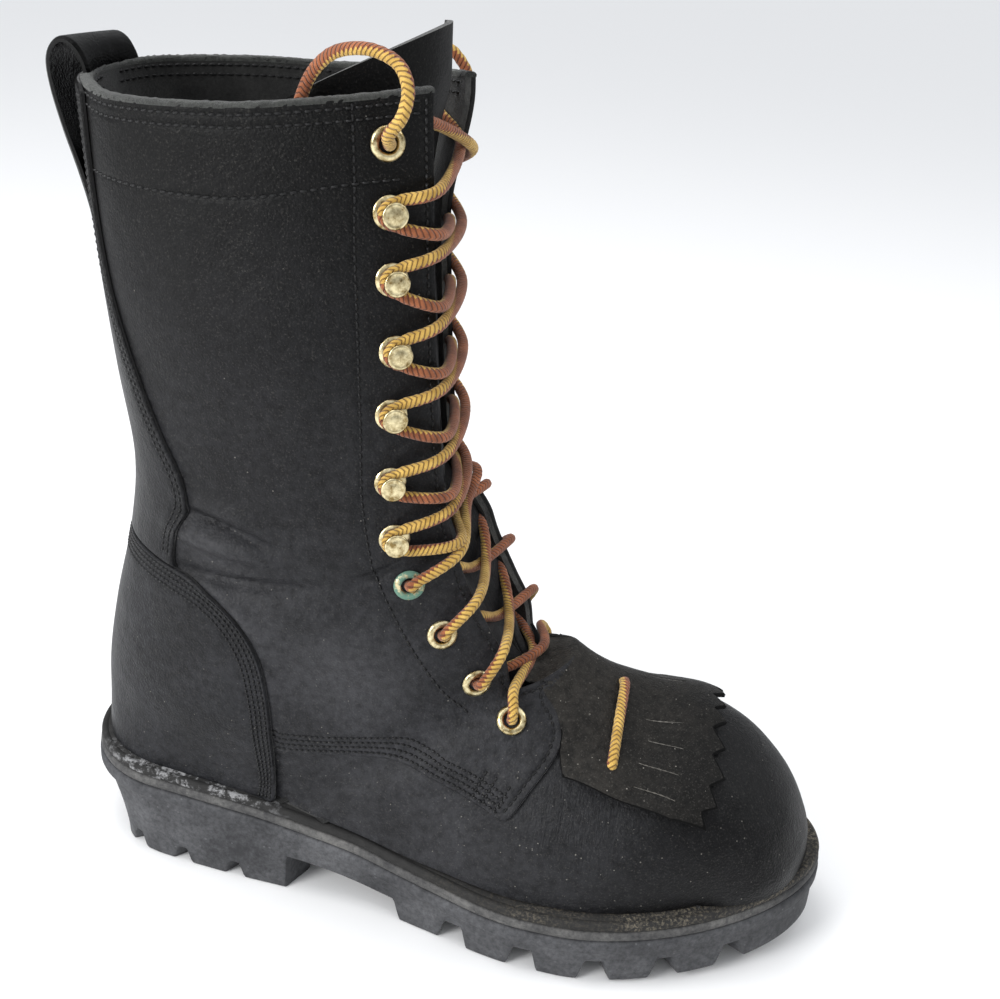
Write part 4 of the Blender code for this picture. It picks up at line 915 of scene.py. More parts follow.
def cut_panel(name, outline, over_back, low, high, pitch, furrows, materials, holes=(), shape=None,
              creased=False, edge_round=EDGE_ROUND, painted_shade_band=0.0):
    """A sheet cut to an outline in the pattern plane, laid on the skin with rounded edges."""
    border = dense(outline, BORDER_STEP, closed=True)
    area = np.sum(border[:, 0] * np.roll(border[:, 1], -1) - np.roll(border[:, 0], -1) * border[:, 1])
    if area < 0:
        border = border[::-1]
    fine_border = dense(border, 0.3, closed=True)
    loops = [border]
    for centre, radius in holes:
        turn = np.linspace(0.0, 2 * np.pi, 20, endpoint=False)
        loops.append(centre + radius * np.stack([np.cos(turn), -np.sin(turn)], 1))
    free = []
    for depth in BORDER_RINGS:
        ring = sideways(border, depth, closed=True)
        free.append(ring[nearest(fine_border, ring) > 0.9 * depth])
    low_corner, high_corner = border.min(0), border.max(0)
    across = np.arange(low_corner[0], high_corner[0], pitch)
    down = np.arange(low_corner[1], high_corner[1], pitch * 0.87)
    grid = np.array([(x + (0.5 * pitch if j % 2 else 0.0), y) for j, y in enumerate(down) for x in across])
    grid = grid[inside(grid, border)]
    grid = grid[nearest(fine_border, grid) > BORDER_RINGS[-1] + 0.45 * pitch]
    lines = [dense(line, 1.3) for line in furrows]
    if lines:
        grid = grid[nearest(np.vstack(lines), grid) > 1.5]
        for line in lines:
            for offset in (-0.85, 0.0, 0.85):
                groove = sideways(line, offset)
                groove = groove[inside(groove, border)]
                if len(groove):
                    free.append(groove[nearest(fine_border, groove) > 1.0])
    if creased:
        fine = np.arange(low_corner[0], high_corner[0], FINE_PITCH)
        fine_down = np.arange(low_corner[1], high_corner[1], FINE_PITCH)
        fine_grid = np.stack(np.meshgrid(fine, fine_down), -1).reshape(-1, 2)
        crease = fold_heights(skin(*from_plane(fine_grid, over_back)), FINE_ZONES)
        fine_grid = fine_grid[np.abs(crease) > 0.05]
        fine_grid = fine_grid[inside(fine_grid, border)]
        fine_grid = fine_grid[nearest(fine_border, fine_grid) > 1.6]
        if lines:
            fine_grid = fine_grid[nearest(np.vstack(lines), fine_grid) > 1.4]
        grid = grid[nearest(fine_grid, grid) > FINE_PITCH]
        free.append(fine_grid)
    free.append(grid)
    free = np.vstack(free)
    for centre, radius in holes:
        free = free[np.linalg.norm(free - centre, axis=1) > radius + 0.6]
    points = np.vstack(loops + [free])
    edges, first = [], 0
    for loop in loops:
        edges += [(first + i, first + (i + 1) % len(loop)) for i in range(len(loop))]
        first += len(loop)
    made = delaunay_2d_cdt([Vector(p) for p in points.tolist()], edges, [], 4 if len(loops) > 1 else 1, 1e-5)
    plane = np.array([tuple(p) for p in made[0]])
    faces = [list(face) for face in made[2]]
    s, a = from_plane(plane, over_back)
    base, normal = skin_and_normal(s, a)
    rim = skin(*from_plane(dense(border, 0.4, closed=True), over_back))
    from_rim = nearest(rim, base)
    away = np.minimum(from_rim, edge_round)
    top = high - edge_round + np.sqrt(np.maximum(edge_round ** 2 - (edge_round - away) ** 2, 0.0))
    if lines:
        from_furrow = nearest(np.vstack([dense(line, 0.4) for line in furrows]), plane)
        top -= FURROW_DEPTH * np.clip(1 - from_furrow / FURROW_HALF, 0.0, 1.0)
    extra = folds(base)
    if creased:
        top += fold_heights(base, FINE_FOLDS)
    if shape is not None:
        extra = extra + shape(base, s, a)
    outer = base + (top + extra)[:, None] * normal
    inner = base + (low + extra)[:, None] * normal
    solid_points, solid, kind = thicken(outer, inner, faces)
    # top faces this close to the rim take the edge's material: on the kiltie a band of painted shade along
    # its edge
    kind[:len(faces)] = [int(max(from_rim[face]) < painted_shade_band) for face in faces]
    piece = make_piece(name, solid_points, solid, materials, indices=kind)
    return piece


stitch_points, stitch_faces = [], []
STITCH_RADIUS, STITCH_RINGS, STITCH_SIDES = 0.46, 6, 6
# height of a stitch's middle over the furrow's floor, and how far its ends dip and thin
STITCH_RISE, STITCH_DIP, STITCH_THIN = 0.34, 0.75, 0.35


def stitch_row(plane_line, over_back, lift, pitch, out=1.0):
    """Lock stitches along a line in the pattern plane: threads that dip into the leather at each hole."""
    line = dense(plane_line, 0.35)
    s, a = from_plane(line, over_back)
    base, normal = skin_and_normal(s, a)
    base = base + (lift - FURROW_DEPTH * max(out, 0.0) + folds(base))[:, None] * normal
    normal = out * normal
    length = run_length(base)
    count = max(int(length[-1] / pitch), 1)
    step = length[-1] / count
    shares = np.linspace(0.06, 0.94, STITCH_RINGS)
    end = np.abs(np.linspace(-1.0, 1.0, STITCH_RINGS)) ** 3
    heights = STITCH_RISE - STITCH_DIP * end
    widths = STITCH_RADIUS * (1 - STITCH_THIN * end)
    for k in range(count):
        at = (k + shares) * step
        middle = np.stack([np.interp(at, length, base[:, c]) for c in range(3)], 1)
        up = np.stack([np.interp(at, length, normal[:, c]) for c in range(3)], 1)
        across = np.cross(unit(np.gradient(middle, axis=0)), up)
        middle = middle + heights[:, None] * up
        first = sum(len(p) for p in stitch_points)
        rings = []
        for angle in np.arange(STITCH_SIDES) * 2 * np.pi / STITCH_SIDES:
            rings.append(middle + widths[:, None] * (np.cos(angle) * across + np.sin(angle) * up))
        stitch_points.append(np.stack(rings, 1).reshape(-1, 3))
        last = first + (STITCH_RINGS - 1) * STITCH_SIDES
        stitch_faces.extend(sheet_faces(STITCH_RINGS, STITCH_SIDES, tube=True, first=first))
        stitch_faces.append(tuple(range(first, first + STITCH_SIDES))[::-1])
        stitch_faces.append(tuple(range(last, last + STITCH_SIDES)))


# eyelets and hooks in side view, from the toe up: x, z, kind
STATIONS = (
    (28.6, 90.0, "eyelet"), (13.1, 103.8, "eyelet"), (-0.2, 124.2, "eyelet"), (-12.5, 144.5, "eyelet"),
    (-18.3, 162.7, "hook"), (-20.6, 184.5, "hook"), (-21.3, 209.5, "hook"), (-21.2, 231.7, "hook"),
    (-23.1, 256.0, "hook"), (-24.6, 277.6, "hook"), (-26.0, 299.0, "eyelet"))
# seams in side view, x and z
EYESTAY_SEAM = (
    (-35.8, 311.0), (-34.4, 288.0), (-33.7, 265.6), (-32.0, 236.0), (-30.3, 204.0), (-29.2, 177.0),
    (-25.6, 154.0), (-21.0, 141.0), (-13.3, 125.0), (-5.2, 111.0), (4.0, 98.0), (12.0, 90.5))
COLLAR_SEAM = (
    (-131.0, 278.0), (-111.0, 277.5), (-90.0, 277.6), (-69.0, 279.0), (-50.0, 283.0), (-34.6, 286.3),
    (-22.0, 288.0))
# stitch rows of the vamp seam, from its edge
SEAM_ROWS = (1.9, 4.2, 6.5, 8.8)
# where a quarter ends under the counter and at the back seam, s and a
QUARTER_FOOT, BACK_SEAM = 7.4, 0.999
EYELET_HOLE = 3.2
station_s, station_a = seen_from_side([(x, z) for x, z, _ in STATIONS], -1)
# The quarters' pale patches on the ankle folds and at the quarter's foot are partly rubbed wear and partly
# painted highlight.
quarter_leather = oiled_leather(
    "oiled_quarter_leather", (0.0095, 0.0096, 0.0107), (0.0235, 0.0237, 0.0262), 0.5, 1.0,
    rubs_and_highlights=(((-0.084, -0.044, 0.15), 0.022), ((-0.075, -0.044, 0.121), 0.022), ((-0.03, -0.042, 0.108), 0.03),
          ((-0.084, 0.044, 0.148), 0.022)))


def make_quarter(name, side):
    low_s, low_a = seen_from_side(rounded(QUARTER_EDGE, 1.5), side)
    low_line = to_plane(low_s, side * low_a)
    throat_s = np.linspace(low_s[-1] - 0.12, COLLAR, 160)
    throat_line = to_plane(throat_s, side * throat_edge(throat_s))
    back = to_plane(np.linspace(COLLAR, QUARTER_FOOT, 40), side * np.full(40, BACK_SEAM))
    under = to_plane(np.full(20, QUARTER_FOOT), side * np.linspace(BACK_SEAM, low_a[0], 20))
    collar_first = throat_edge(np.array([COLLAR]))[0]
    collar = to_plane(np.full(30, COLLAR), side * np.linspace(collar_first, BACK_SEAM, 30))
    outline = np.vstack([low_line, throat_line, collar[1:], back[1:], under[1:-1]])
    rows = []
    seam = low_line[3:len(low_line) * 2 // 3 - 1]
    for distance in SEAM_ROWS:
        rows.append((beside(seam, -side * distance, False), 2.3))
    near_edge, far_edge = (beside(seam, -side * distance, False) for distance in (1.2, 13.0))
    for step in (2, 5, 8):
        rows.append((np.array([near_edge[-step], far_edge[-step]]), 2.3))
    front_edge = np.vstack([low_line[len(low_line) * 2 // 3 + 2:], throat_line[4:]])
    rows.append((beside(rounded(front_edge[::4], 1.2), -side * 3.0, False), 2.9))
    for places, pitch in ((EYESTAY_SEAM, 3.1), (COLLAR_SEAM, 3.2)):
        s, a = seen_from_side(rounded(places, 2.0), side)
        rows.append((to_plane(s, side * a), pitch))
    for drop in (3.2, 7.2):
        s = np.full(40, COLLAR + drop / COLLAR_ROW_HEIGHT)
        rows.append((to_plane(s, side * np.linspace(throat_edge(s[:1])[0] + 0.03, 0.97, 40)), 3.1))
    holes = []
    for s, a, station in zip(station_s, station_a, STATIONS):
        if station[2] == "eyelet":
            holes.append((to_plane(s, side * a), EYELET_HOLE))
    piece = cut_panel(name, outline, False, PANEL_LOW, PANEL_HIGH, 2.1, [row for row, _ in rows],
                      [quarter_leather, dyed_edge, rough_side], holes, creased=True, edge_round=0.55)
    for row, pitch in rows:
        stitch_row(row, False, PANEL_HIGH, pitch)
    for row, pitch in rows[-2:]:
        stitch_row(row, False, -WALL, pitch, -1.0)
    return piece


for side, name in ((-1, "quarter_lateral"), (1, "quarter_medial")):
    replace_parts(make_quarter(name + "_panel", side), name)

# Counter: a moulded heel cover in thicker leather, laid over both quarters at the back and sewn on
# with four close rows.
COUNTER_EDGE = (
    (-60.3, 42.0), (-60.1, 60.0), (-60.5, 74.0), (-62.2, 90.0), (-66.5, 108.0), (-75.0, 122.0),
    (-87.0, 131.0), (-101.0, 135.2), (-118.0, 138.0), (-130.5, 139.5))
COUNTER_ROWS = (2.0, 4.0, 6.1, 8.2)
counter_leather = oiled_leather(
    "oiled_counter_leather", (0.0055, 0.0056, 0.0064), (0.0155, 0.0158, 0.0178), 0.43, 0.9)


def back_edge(places, side):
    """An edge given in side view as a line in the back's pattern plane."""
    s, a = seen_from_side(rounded(places, 1.5), side)
    return to_plane(s, side * (1 - a))


counter_lateral, counter_medial = (back_edge(COUNTER_EDGE, side) for side in (-1, 1))
counter_foot = to_plane(np.full(90, HEEL_FEATHER - 0.01), np.linspace(0.492, -0.492, 90))
counter_edge = np.vstack([counter_lateral, counter_medial[::-1]])
counter_outline = np.vstack([counter_edge, counter_foot])
counter_rows = [beside(dense(counter_edge, 2.0), -distance, True) for distance in COUNTER_ROWS]
counter = cut_panel("counter_panel", counter_outline, True, OVER_LOW, OVER_HIGH, 2.2, counter_rows,
                    [counter_leather, dyed_edge, rough_side])
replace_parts(counter, "counter")
for row in counter_rows:
    stitch_row(row, True, OVER_HIGH, 2.2)

# Backstay: a strip of the counter's leather up the back seam to the collar, broad at the ankle. It
# is sewn along both edges.
BACKSTAY_EDGE = (
    (-102.0, 136.0), (-101.0, 146.0), (-96.5, 156.0), (-94.0, 166.0), (-96.5, 176.0), (-103.0, 188.0),
    (-110.0, 202.0), (-117.0, 219.0), (-122.5, 234.0), (-127.0, 250.0), (-129.5, 266.0), (-130.5, 284.0),
    (-130.8, 303.0))
backstay_lateral, backstay_medial = (back_edge(BACKSTAY_EDGE, side) for side in (-1, 1))
backstay_foot_lateral, backstay_foot_medial = (
    back_edge([(x, z + 0.6) for x, z in COUNTER_EDGE[-3:]], side) for side in (-1, 1))
backstay_top = to_plane(np.full(20, COLLAR + 0.004),
                        np.linspace(backstay_lateral[-1, 1], backstay_medial[-1, 1], 20) / AROUND_MM)
backstay_outline = np.vstack([backstay_lateral[1:], backstay_top[1:-1], backstay_medial[:0:-1],
                              backstay_foot_medial, backstay_foot_lateral[::-1]])
backstay_rows = [beside(backstay_lateral[3:], -distance, True) for distance in (2.4, 4.8)]
backstay_rows += [beside(backstay_medial[3:], distance, True) for distance in (2.4, 4.8)]
backstay = cut_panel("backstay_panel", backstay_outline, True, OVER_LOW, OVER_HIGH, 2.2, backstay_rows,
                     [counter_leather, dyed_edge, rough_side])
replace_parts(backstay, "backstay")
for row in backstay_rows:
    stitch_row(row, True, OVER_HIGH, 2.6)

# Kiltie: a loose flap of leather laid over the vamp under the lowest laces, its front cut in a
# zigzag and slit into a short fringe.
KILTIE_GAP = 0.7
# the quarters' front edge that it meets, x and z
KILTIE_UNDER = ((48.3, 84.6), (48.0, 87.4), (44.5, 92.5), (39.0, 97.5), (36.5, 100.5))
# its outer edge from front to back, x and y
KILTIE_SIDE = (
    (98.6, -38.3), (92.9, -39.2), (85.2, -39.0), (77.6, -38.7), (69.8, -38.1), (62.0, -37.4), (54.9, -36.6),
    (51.4, -36.4))
# its back end dips into the throat: s and a at the outer and the inner side, and how deep
KILTIE_BACK, KILTIE_DIP = ((7.95, -0.16), (7.6, 0.16)), 12.5
# tips and notches of its front from the outer side, x and y
KILTIE_FRONT = (
    (104.6, -37.3), (102.4, -34.6), (107.6, -31.6), (104.2, -27.0), (109.4, -22.2), (103.9, -15.6),
    (108.2, -10.6), (102.4, -4.0), (106.8, 1.6), (101.4, 7.6), (106.0, 13.4), (100.8, 19.2),
    (105.0, 25.2), (100.0, 30.8), (103.6, 36.6), (98.6, 41.6), (101.0, 46.4))
# slits of the fringe, from and to, x and y
KILTIE_SLITS = (
    (77.4, -8.5, 91.2, -6.0), (79.7, -17.0, 93.2, -17.5), (78.0, -26.0, 93.0, -27.5),
    (78.0, -34.0, 93.0, -35.0), (75.0, 22.0, 88.0, 25.0), (74.0, 31.0, 86.0, 34.5))
top_s, top_a = (grid.ravel() for grid in np.meshgrid(np.linspace(7.6, 15.5, 240),
                                                     np.linspace(-0.4, 0.4, 230)))
top_points = skin(top_s, top_a)[:, :2]


def seen_from_above(places):
    """s and a of the skin's points that lie at x and y in top view."""
    return seen_at(places, [0, 1], (top_s, top_a, top_points), 1)


def kiltie_outline():
    """Along both quarters' front edges, then to the zigzag front; in the pattern plane."""
    edge_s, edge_a = seen_from_side(rounded(KILTIE_UNDER, 1.2), -1)
    lateral = beside(to_plane(edge_s, -edge_a), KILTIE_GAP, False)
    edge_s, edge_a = seen_from_side(rounded(KILTIE_UNDER, 1.2), 1)
    medial = beside(to_plane(edge_s, edge_a), -KILTIE_GAP, False)
    front_s, front_a = seen_from_above(dense(KILTIE_FRONT, 1.0))
    side_s, side_a = seen_from_above(dense(KILTIE_SIDE, 1.0))
    back = [np.linspace(*pair, 15) for pair in zip(*KILTIE_BACK)]
    return np.vstack([lateral, to_plane(*back), medial[::-1], to_plane(front_s, front_a)[::-1],
                      to_plane(side_s, side_a)])


def kiltie_lift(base, s, a):
    """The flap stands a little off the vamp towards its front."""
    x, y = base[:, 0], base[:, 1]
    side_edge = np.maximum(blend(-22.0, -41.0, y), blend(30.0, 50.0, y)) * blend(50.0, 64.0, x)
    front = 1.8 * blend(75.0, 104.0, x) + 0.5 * blend(80.0, 104.0, x) * np.sin(0.21 * y + 0.8)
    dip = KILTIE_DIP * np.maximum(1 - (a / TONGUE_FLAT_HALF) ** 2, 0.0) * blend(8.7, 7.9, s)
    return front + 4.2 * side_edge - dip


slit_lines = []
for x0, y0, x1, y1 in KILTIE_SLITS:
    slit_s, slit_a = seen_from_above(dense(((x0, y0), (x1, y1)), 1.0))
    slit_lines.append(to_plane(slit_s, slit_a))
kiltie_leather = oiled_leather("kiltie_leather", (0.007, 0.0064, 0.0056), (0.027, 0.0245, 0.0215), 0.58, 1.4)
# The kiltie's edge material is black dye darkened further as painted shade; it also covers a narrow band of
# the flap's top along the rim, a painted shadow where the flap stands off the vamp.
kiltie_edge_and_shade = raw_leather("kiltie_edge_painted_shade", (0.0005, 0.0005, 0.0005), (0.003, 0.003, 0.003), 0.0003, 0.0)
kiltie = cut_panel("kiltie_panel", kiltie_outline(), False, PANEL_LOW, PANEL_HIGH, 1.9, slit_lines,
                   [kiltie_leather, kiltie_edge_and_shade, rough_side], shape=kiltie_lift,
                   edge_round=0.35, painted_shade_band=0.85)
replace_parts(kiltie, "kiltie")

slit_points, slit_faces = [], []
SLIT_HALF = 0.17
for line in slit_lines:
    at = dense(line, 0.5)
    slit_s, slit_a = from_plane(at, False)
    base, normal = skin_and_normal(slit_s, slit_a)
    lift = PANEL_HIGH - FURROW_DEPTH + 0.12 + kiltie_lift(base, slit_s, slit_a) + folds(base)
    across = np.cross(unit(np.gradient(base, axis=0)), normal)
    count = len(at)
    ragged = 1 + 0.45 * np.sin(7.1 * np.arange(count))
    wide = SLIT_HALF * np.sin(np.pi * np.linspace(0.04, 0.96, count)) ** 0.4 * ragged
    ridge = base + (lift + 0.12)[:, None] * normal
    low = base + (lift - 0.5)[:, None] * normal
    first = sum(len(p) for p in slit_points)
    slit_points.append(np.vstack([ridge - wide[:, None] * across, ridge + wide[:, None] * across, low]))
    slit_faces += sheet_faces(3, count, closed=True, first=first)
    slit_faces.append((first, first + count, first + 2 * count))
    slit_faces.append((first + count - 1, first + 3 * count - 1, first + 2 * count - 1))
slits = make_piece("kiltie_slits", np.vstack(slit_points), slit_faces, [
    raw_leather("opened_leather_fibre", (0.05, 0.048, 0.042), (0.17, 0.16, 0.14), 0.0003)])

# Collar edge: the raw top edges of the upper and the quarters, cut off together. Wear has rounded
# them and left them furry and grey with dust.
edge_first = throat_edge(np.array([COLLAR]))[0]
edge_a = np.concatenate([np.linspace(-edge_first, -1.0, 130), np.linspace(1.0, edge_first, 130)[1:]])
edge_base, edge_normal = skin_and_normal(np.full(len(edge_a), COLLAR), edge_a)
edge_up = unit(edge_base - skin(np.full(len(edge_a), COLLAR + 0.02), edge_a))
# across the wall and up from the cut line
EDGE_PROFILE = np.array((
    (-2.25, -1.2), (-2.4, -0.4), (-2.1, 0.4), (-1.3, 0.85), (-0.2, 0.95), (0.9, 0.85), (1.65, 0.45),
    (1.98, -0.25), (1.9, -1.0)))
worn = np.random.default_rng(7)
edge_jitter = worn.normal(0.0, 0.11, (len(edge_a), len(EDGE_PROFILE)))
edge_jitter[:, [0, -1]] = 0.0
edge_across = EDGE_PROFILE[:, 0] * (1 + 0.5 * edge_jitter)
edge_high = EDGE_PROFILE[:, 1] + edge_jitter
edge_points = edge_base[:, None] + edge_across[..., None] * edge_normal[:, None]
edge_points = edge_points + edge_high[..., None] * edge_up[:, None]
profile_count = len(EDGE_PROFILE)
edge_faces = sheet_faces(len(edge_a), profile_count, tube=True)
edge_faces.append(tuple(range(profile_count)))
edge_faces.append(tuple(range(len(edge_a) * profile_count - 1, (len(edge_a) - 1) * profile_count - 1, -1)))
collar_fur = raw_leather("furry_collar_edge", (0.012, 0.0125, 0.012), (0.065, 0.068, 0.062), 0.0012)
collar_edge = make_piece("collar_edge", edge_points.reshape(-1, 3), edge_faces, [collar_fur])

# Stitching: black waxed thread along every seam of the panels, in close lock stitches that lie in
# a furrow of the leather.
thread, tree, shader, place = new_material("black_waxed_thread")
dress(tree, shader, {
    "Base Color": mixed(tree, noise(tree, place, 500.0, 3.0), (0.003, 0.003, 0.003), (0.013, 0.013, 0.0135)),
    "Roughness": 0.42, "Specular IOR Level": 0.28})
stitching = make_piece("seam_stitching", np.vstack(stitch_points), stitch_faces, [thread])

# Pull loop: a doubled strap of smooth leather sewn to the backstay, folded over the collar and
# sewn down inside; its fold shines.
LOOP_HALF_WIDTH, LOOP_THICK, LOOP_BACK_RADIUS = 19.0, 2.0, 50.0
# x and z along the strap's inner face, and how far it bows with the heel's round
LOOP_PATH = np.array((
    (-139.6, 251.0, 1.0), (-141.4, 262.0, 1.0), (-144.6, 275.0, 0.8), (-148.6, 289.0, 0.5),
    (-151.8, 302.5, 0.3), (-152.2, 311.5, 0.2), (-148.6, 316.6, 0.2), (-144.6, 315.6, 0.3),
    (-142.8, 311.0, 0.7), (-142.6, 306.0, 1.0), (-142.6, 302.5, 1.0)))
loop_line = rounded(LOOP_PATH, 1.0)
loop_columns = 33
loop_across = np.linspace(-1.0, 1.0, loop_columns)
loop_y = LOOP_HALF_WIDTH * loop_across
loop_bow = LOOP_BACK_RADIUS - np.sqrt(LOOP_BACK_RADIUS ** 2 - loop_y ** 2)
loop_inner = np.stack([loop_line[:, None, 0] + loop_line[:, None, 2] * loop_bow,
                       np.broadcast_to(loop_y, (len(loop_line), loop_columns)),
                       np.broadcast_to(loop_line[:, None, 1], (len(loop_line), loop_columns))], -1)
loop_out = unit(np.cross(np.gradient(loop_inner, axis=0), np.gradient(loop_inner, axis=1)))
loop_edge = LOOP_HALF_WIDTH * (1 - np.abs(loop_across))
loop_round = np.sqrt(np.maximum(1 - (1 - np.clip(loop_edge / 1.4, 0.0, 1.0)) ** 2, 0.0))
loop_thick = LOOP_THICK * (0.55 + 0.45 * loop_round)
loop_outer = loop_inner + loop_thick[None, :, None] * loop_out
loop_points, loop_solid, loop_kind = thicken(
    loop_outer.reshape(-1, 3), loop_inner.reshape(-1, 3), sheet_faces(len(loop_line), loop_columns))
# The strap's leather is painted near black, far darker than the other leather, as painted shade over its
# sides; its inner face takes it too as painted shade inside the loop.
loop_leather_and_shade = oiled_leather(
    "smooth_loop_leather", (0.001, 0.001, 0.0011), (0.0022, 0.0022, 0.0024), 0.24, 0.05, shine=0.06)
pull_loop = make_piece("pull_loop_strap", loop_points, loop_solid, [loop_leather_and_shade, dyed_edge, loop_leather_and_shade],
                       indices=loop_kind)
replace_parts(pull_loop, "pull_loop")

# Eyelets: brass rings pressed through the quarters with their rims rolled, four low down and one at
# the top on each side; damp has greened one.
SEAT = 0.25
# radius and height over the leather
EYELET_PROFILE = (
    (3.0, -1.6), (3.0, 0.4), (3.15, 1.0), (3.6, 1.35), (4.4, 1.35), (5.2, 1.05), (5.65, 0.55), (5.75, 0.1),
    (5.5, -0.1), (3.6, -0.1), (3.6, -1.6))
SIDE_NAMES = {-1: "lateral", 1: "medial"}
# place, normal and kind of each station, by side and number
seats = {}
for side in SIDE_NAMES:
    for number, (place, normal) in enumerate(zip(*skin_and_normal(station_s, side * station_a))):
        high = PANEL_HIGH + folds(place[None])[0]
        seats[side, number] = (place + high * normal, normal, STATIONS[number][2])


def turned(profile, seat, closed, sides=40):
    """Points and faces of a turned piece that stands at a station."""
    place, normal, _ = seats[seat]
    turn = np.array(Vector(normal).to_track_quat("Z", "Y").to_matrix())
    angle = np.linspace(0.0, 2 * np.pi, sides, endpoint=False)
    profile = np.asarray(profile)
    local = np.stack([profile[:, None, 0] * np.cos(angle), profile[:, None, 0] * np.sin(angle),
                      np.broadcast_to(profile[:, None, 1], (len(profile), sides))], -1)
    points = place + SEAT * normal + local.reshape(-1, 3) @ turn.T
    return points, sheet_faces(len(profile), sides, tube=True, closed=closed)


def joined(parts):
    """One mesh from several lists of points and faces."""
    points, faces, first = [], [], 0
    for part_points, part_faces in parts:
        points.append(part_points)
        faces += [tuple(v + first for v in face) for face in part_faces]
        first += len(part_points)
    return np.vstack(points), faces


def worn_brass(name, green):
    """Lacquered brass, dulled and scratched; green is how far damp has crept over it."""
    material, tree, shader, place = new_material(name)
    cloud = noise(tree, place, 330.0, 6.0, 0.65)
    metal = mixed(tree, span(tree, cloud, 0.36, 0.6), (0.24, 0.165, 0.06), (0.80, 0.70, 0.43))
    crust = span(tree, noise(tree, place, 240.0, 7.0, 0.7), 0.72 - 0.42 * green, 0.78 - 0.36 * green)
    dress(tree, shader, {
        "Base Color": mixed(tree, crust, metal, (0.13, 0.25, 0.19)),
        "Metallic": span(tree, crust, 0.0, 1.0, 1.0, 0.1),
        "Roughness": reckon(tree, "MAXIMUM", span(tree, cloud, 0.0, 1.0, 0.12, 0.5), crust),
        "Normal": relief(tree, noise(tree, place, 1200.0, 4.0), 0.18, 0.0002)})
    return material


GREENED = [(-1, 3)]
for name, green, chosen in (
        ("eyelets_brass", 0.2, lambda seat: STATIONS[seat[1]][2] == "eyelet" and seat not in GREENED),
        ("eyelets_greened", 0.75, lambda seat: seat in GREENED)):
    held = [seat for seat in seats if chosen(seat)]
    eyelet_points, eyelet_faces = joined([turned(EYELET_PROFILE, seat, True) for seat in held])
    eyelets = make_piece(name, eyelet_points, eyelet_faces, [worn_brass(name + "_metal", green)])
    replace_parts(eyelets, *(f"eyelet_{SIDE_NAMES[side]}_{number + 1:02d}" for side, number in held))

# Hooks: brass lacing studs riveted through the quarters, a disc below and a flat round head above
# that holds the lace.
HOOK_BASE_PROFILE = (
    (0.0, 0.75), (2.2, 0.75), (2.2, 0.95), (4.2, 0.85), (5.3, 0.5), (5.6, 0.1), (5.4, -0.1), (0.0, -0.1))
HOOK_PROFILE = (
    (0.0, 0.7), (2.3, 0.7), (1.9, 1.4), (1.8, 3.0), (1.9, 4.8), (2.4, 5.4), (3.6, 5.55), (4.1, 5.75),
    (4.35, 6.15), (4.3, 6.55), (3.95, 6.85), (3.45, 6.85), (3.05, 6.7), (2.2, 6.95), (1.2, 7.12),
    (0.0, 7.15))
hook_seats = [seat for seat in seats if STATIONS[seat[1]][2] == "hook"]
hook_points, hook_faces = joined([
    turned(profile, seat, False) for seat in hook_seats for profile in (HOOK_BASE_PROFILE, HOOK_PROFILE)])
hooks = make_piece("hooks_brass", hook_points, hook_faces, [worn_brass("hook_brass", 0.0)])
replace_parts(hooks, *(f"hook_{SIDE_NAMES[side]}_{number + 1:02d}" for side, number in hook_seats))

# Laces: one long round braided cord of gold and rust yarn, laced loosely through the eyelets and
# round the hooks, crossing over the tongue between each pair.
LACE_RADIUS = 2.05
LACE_SIDES = 24
BRAID_PITCH = 1.75
BRAID_RELIEF, BRAID_STRANDS = 0.035, 6
# height and radius of the turn round a hook, and how far the hook pinches the cord
HOOK_HEIGHT, HOOK_TURN, HOOK_PINCH = 3.15, 3.45, 0.24
# how far each crossing stands in front of the throat's ridge line, or behind it, from the toe up
LACE_BULGES = (-10.5, -12.5, -11.5, -10.0, -5.0, -2.5, -2.0, -2.0, -2.0, -3.0)
CROSS_CLEAR, CROSS_RISE, TOP_RISE = 2.2, -1.5, 6.0
# how far each crossing has slipped from the middle to the throat's inner edge
CROSS_SHIFTS = (0.0, 0.0, 0.0, 0.2, 0.55, 0.65, 0.65, 0.65, 0.65, 0.6)
# how far along its way a strand has come where it crosses the throat's edges
LEAVE_SHARE = 0.32
ARRIVE_SHARE = {("eyelet", -1): 0.12, ("eyelet", 1): 0.08, ("hook", -1): 0.42, ("hook", 1): 0.4}
TOP_SHARE = {-1: -0.25, 1: 0.4}
# the crossings where the strand from the inner side lies on top
FLIPPED = (0, len(STATIONS) - 2)
hook_rings = np.array([seats[seat][0] + HOOK_HEIGHT * seats[seat][1] for seat in hook_seats])


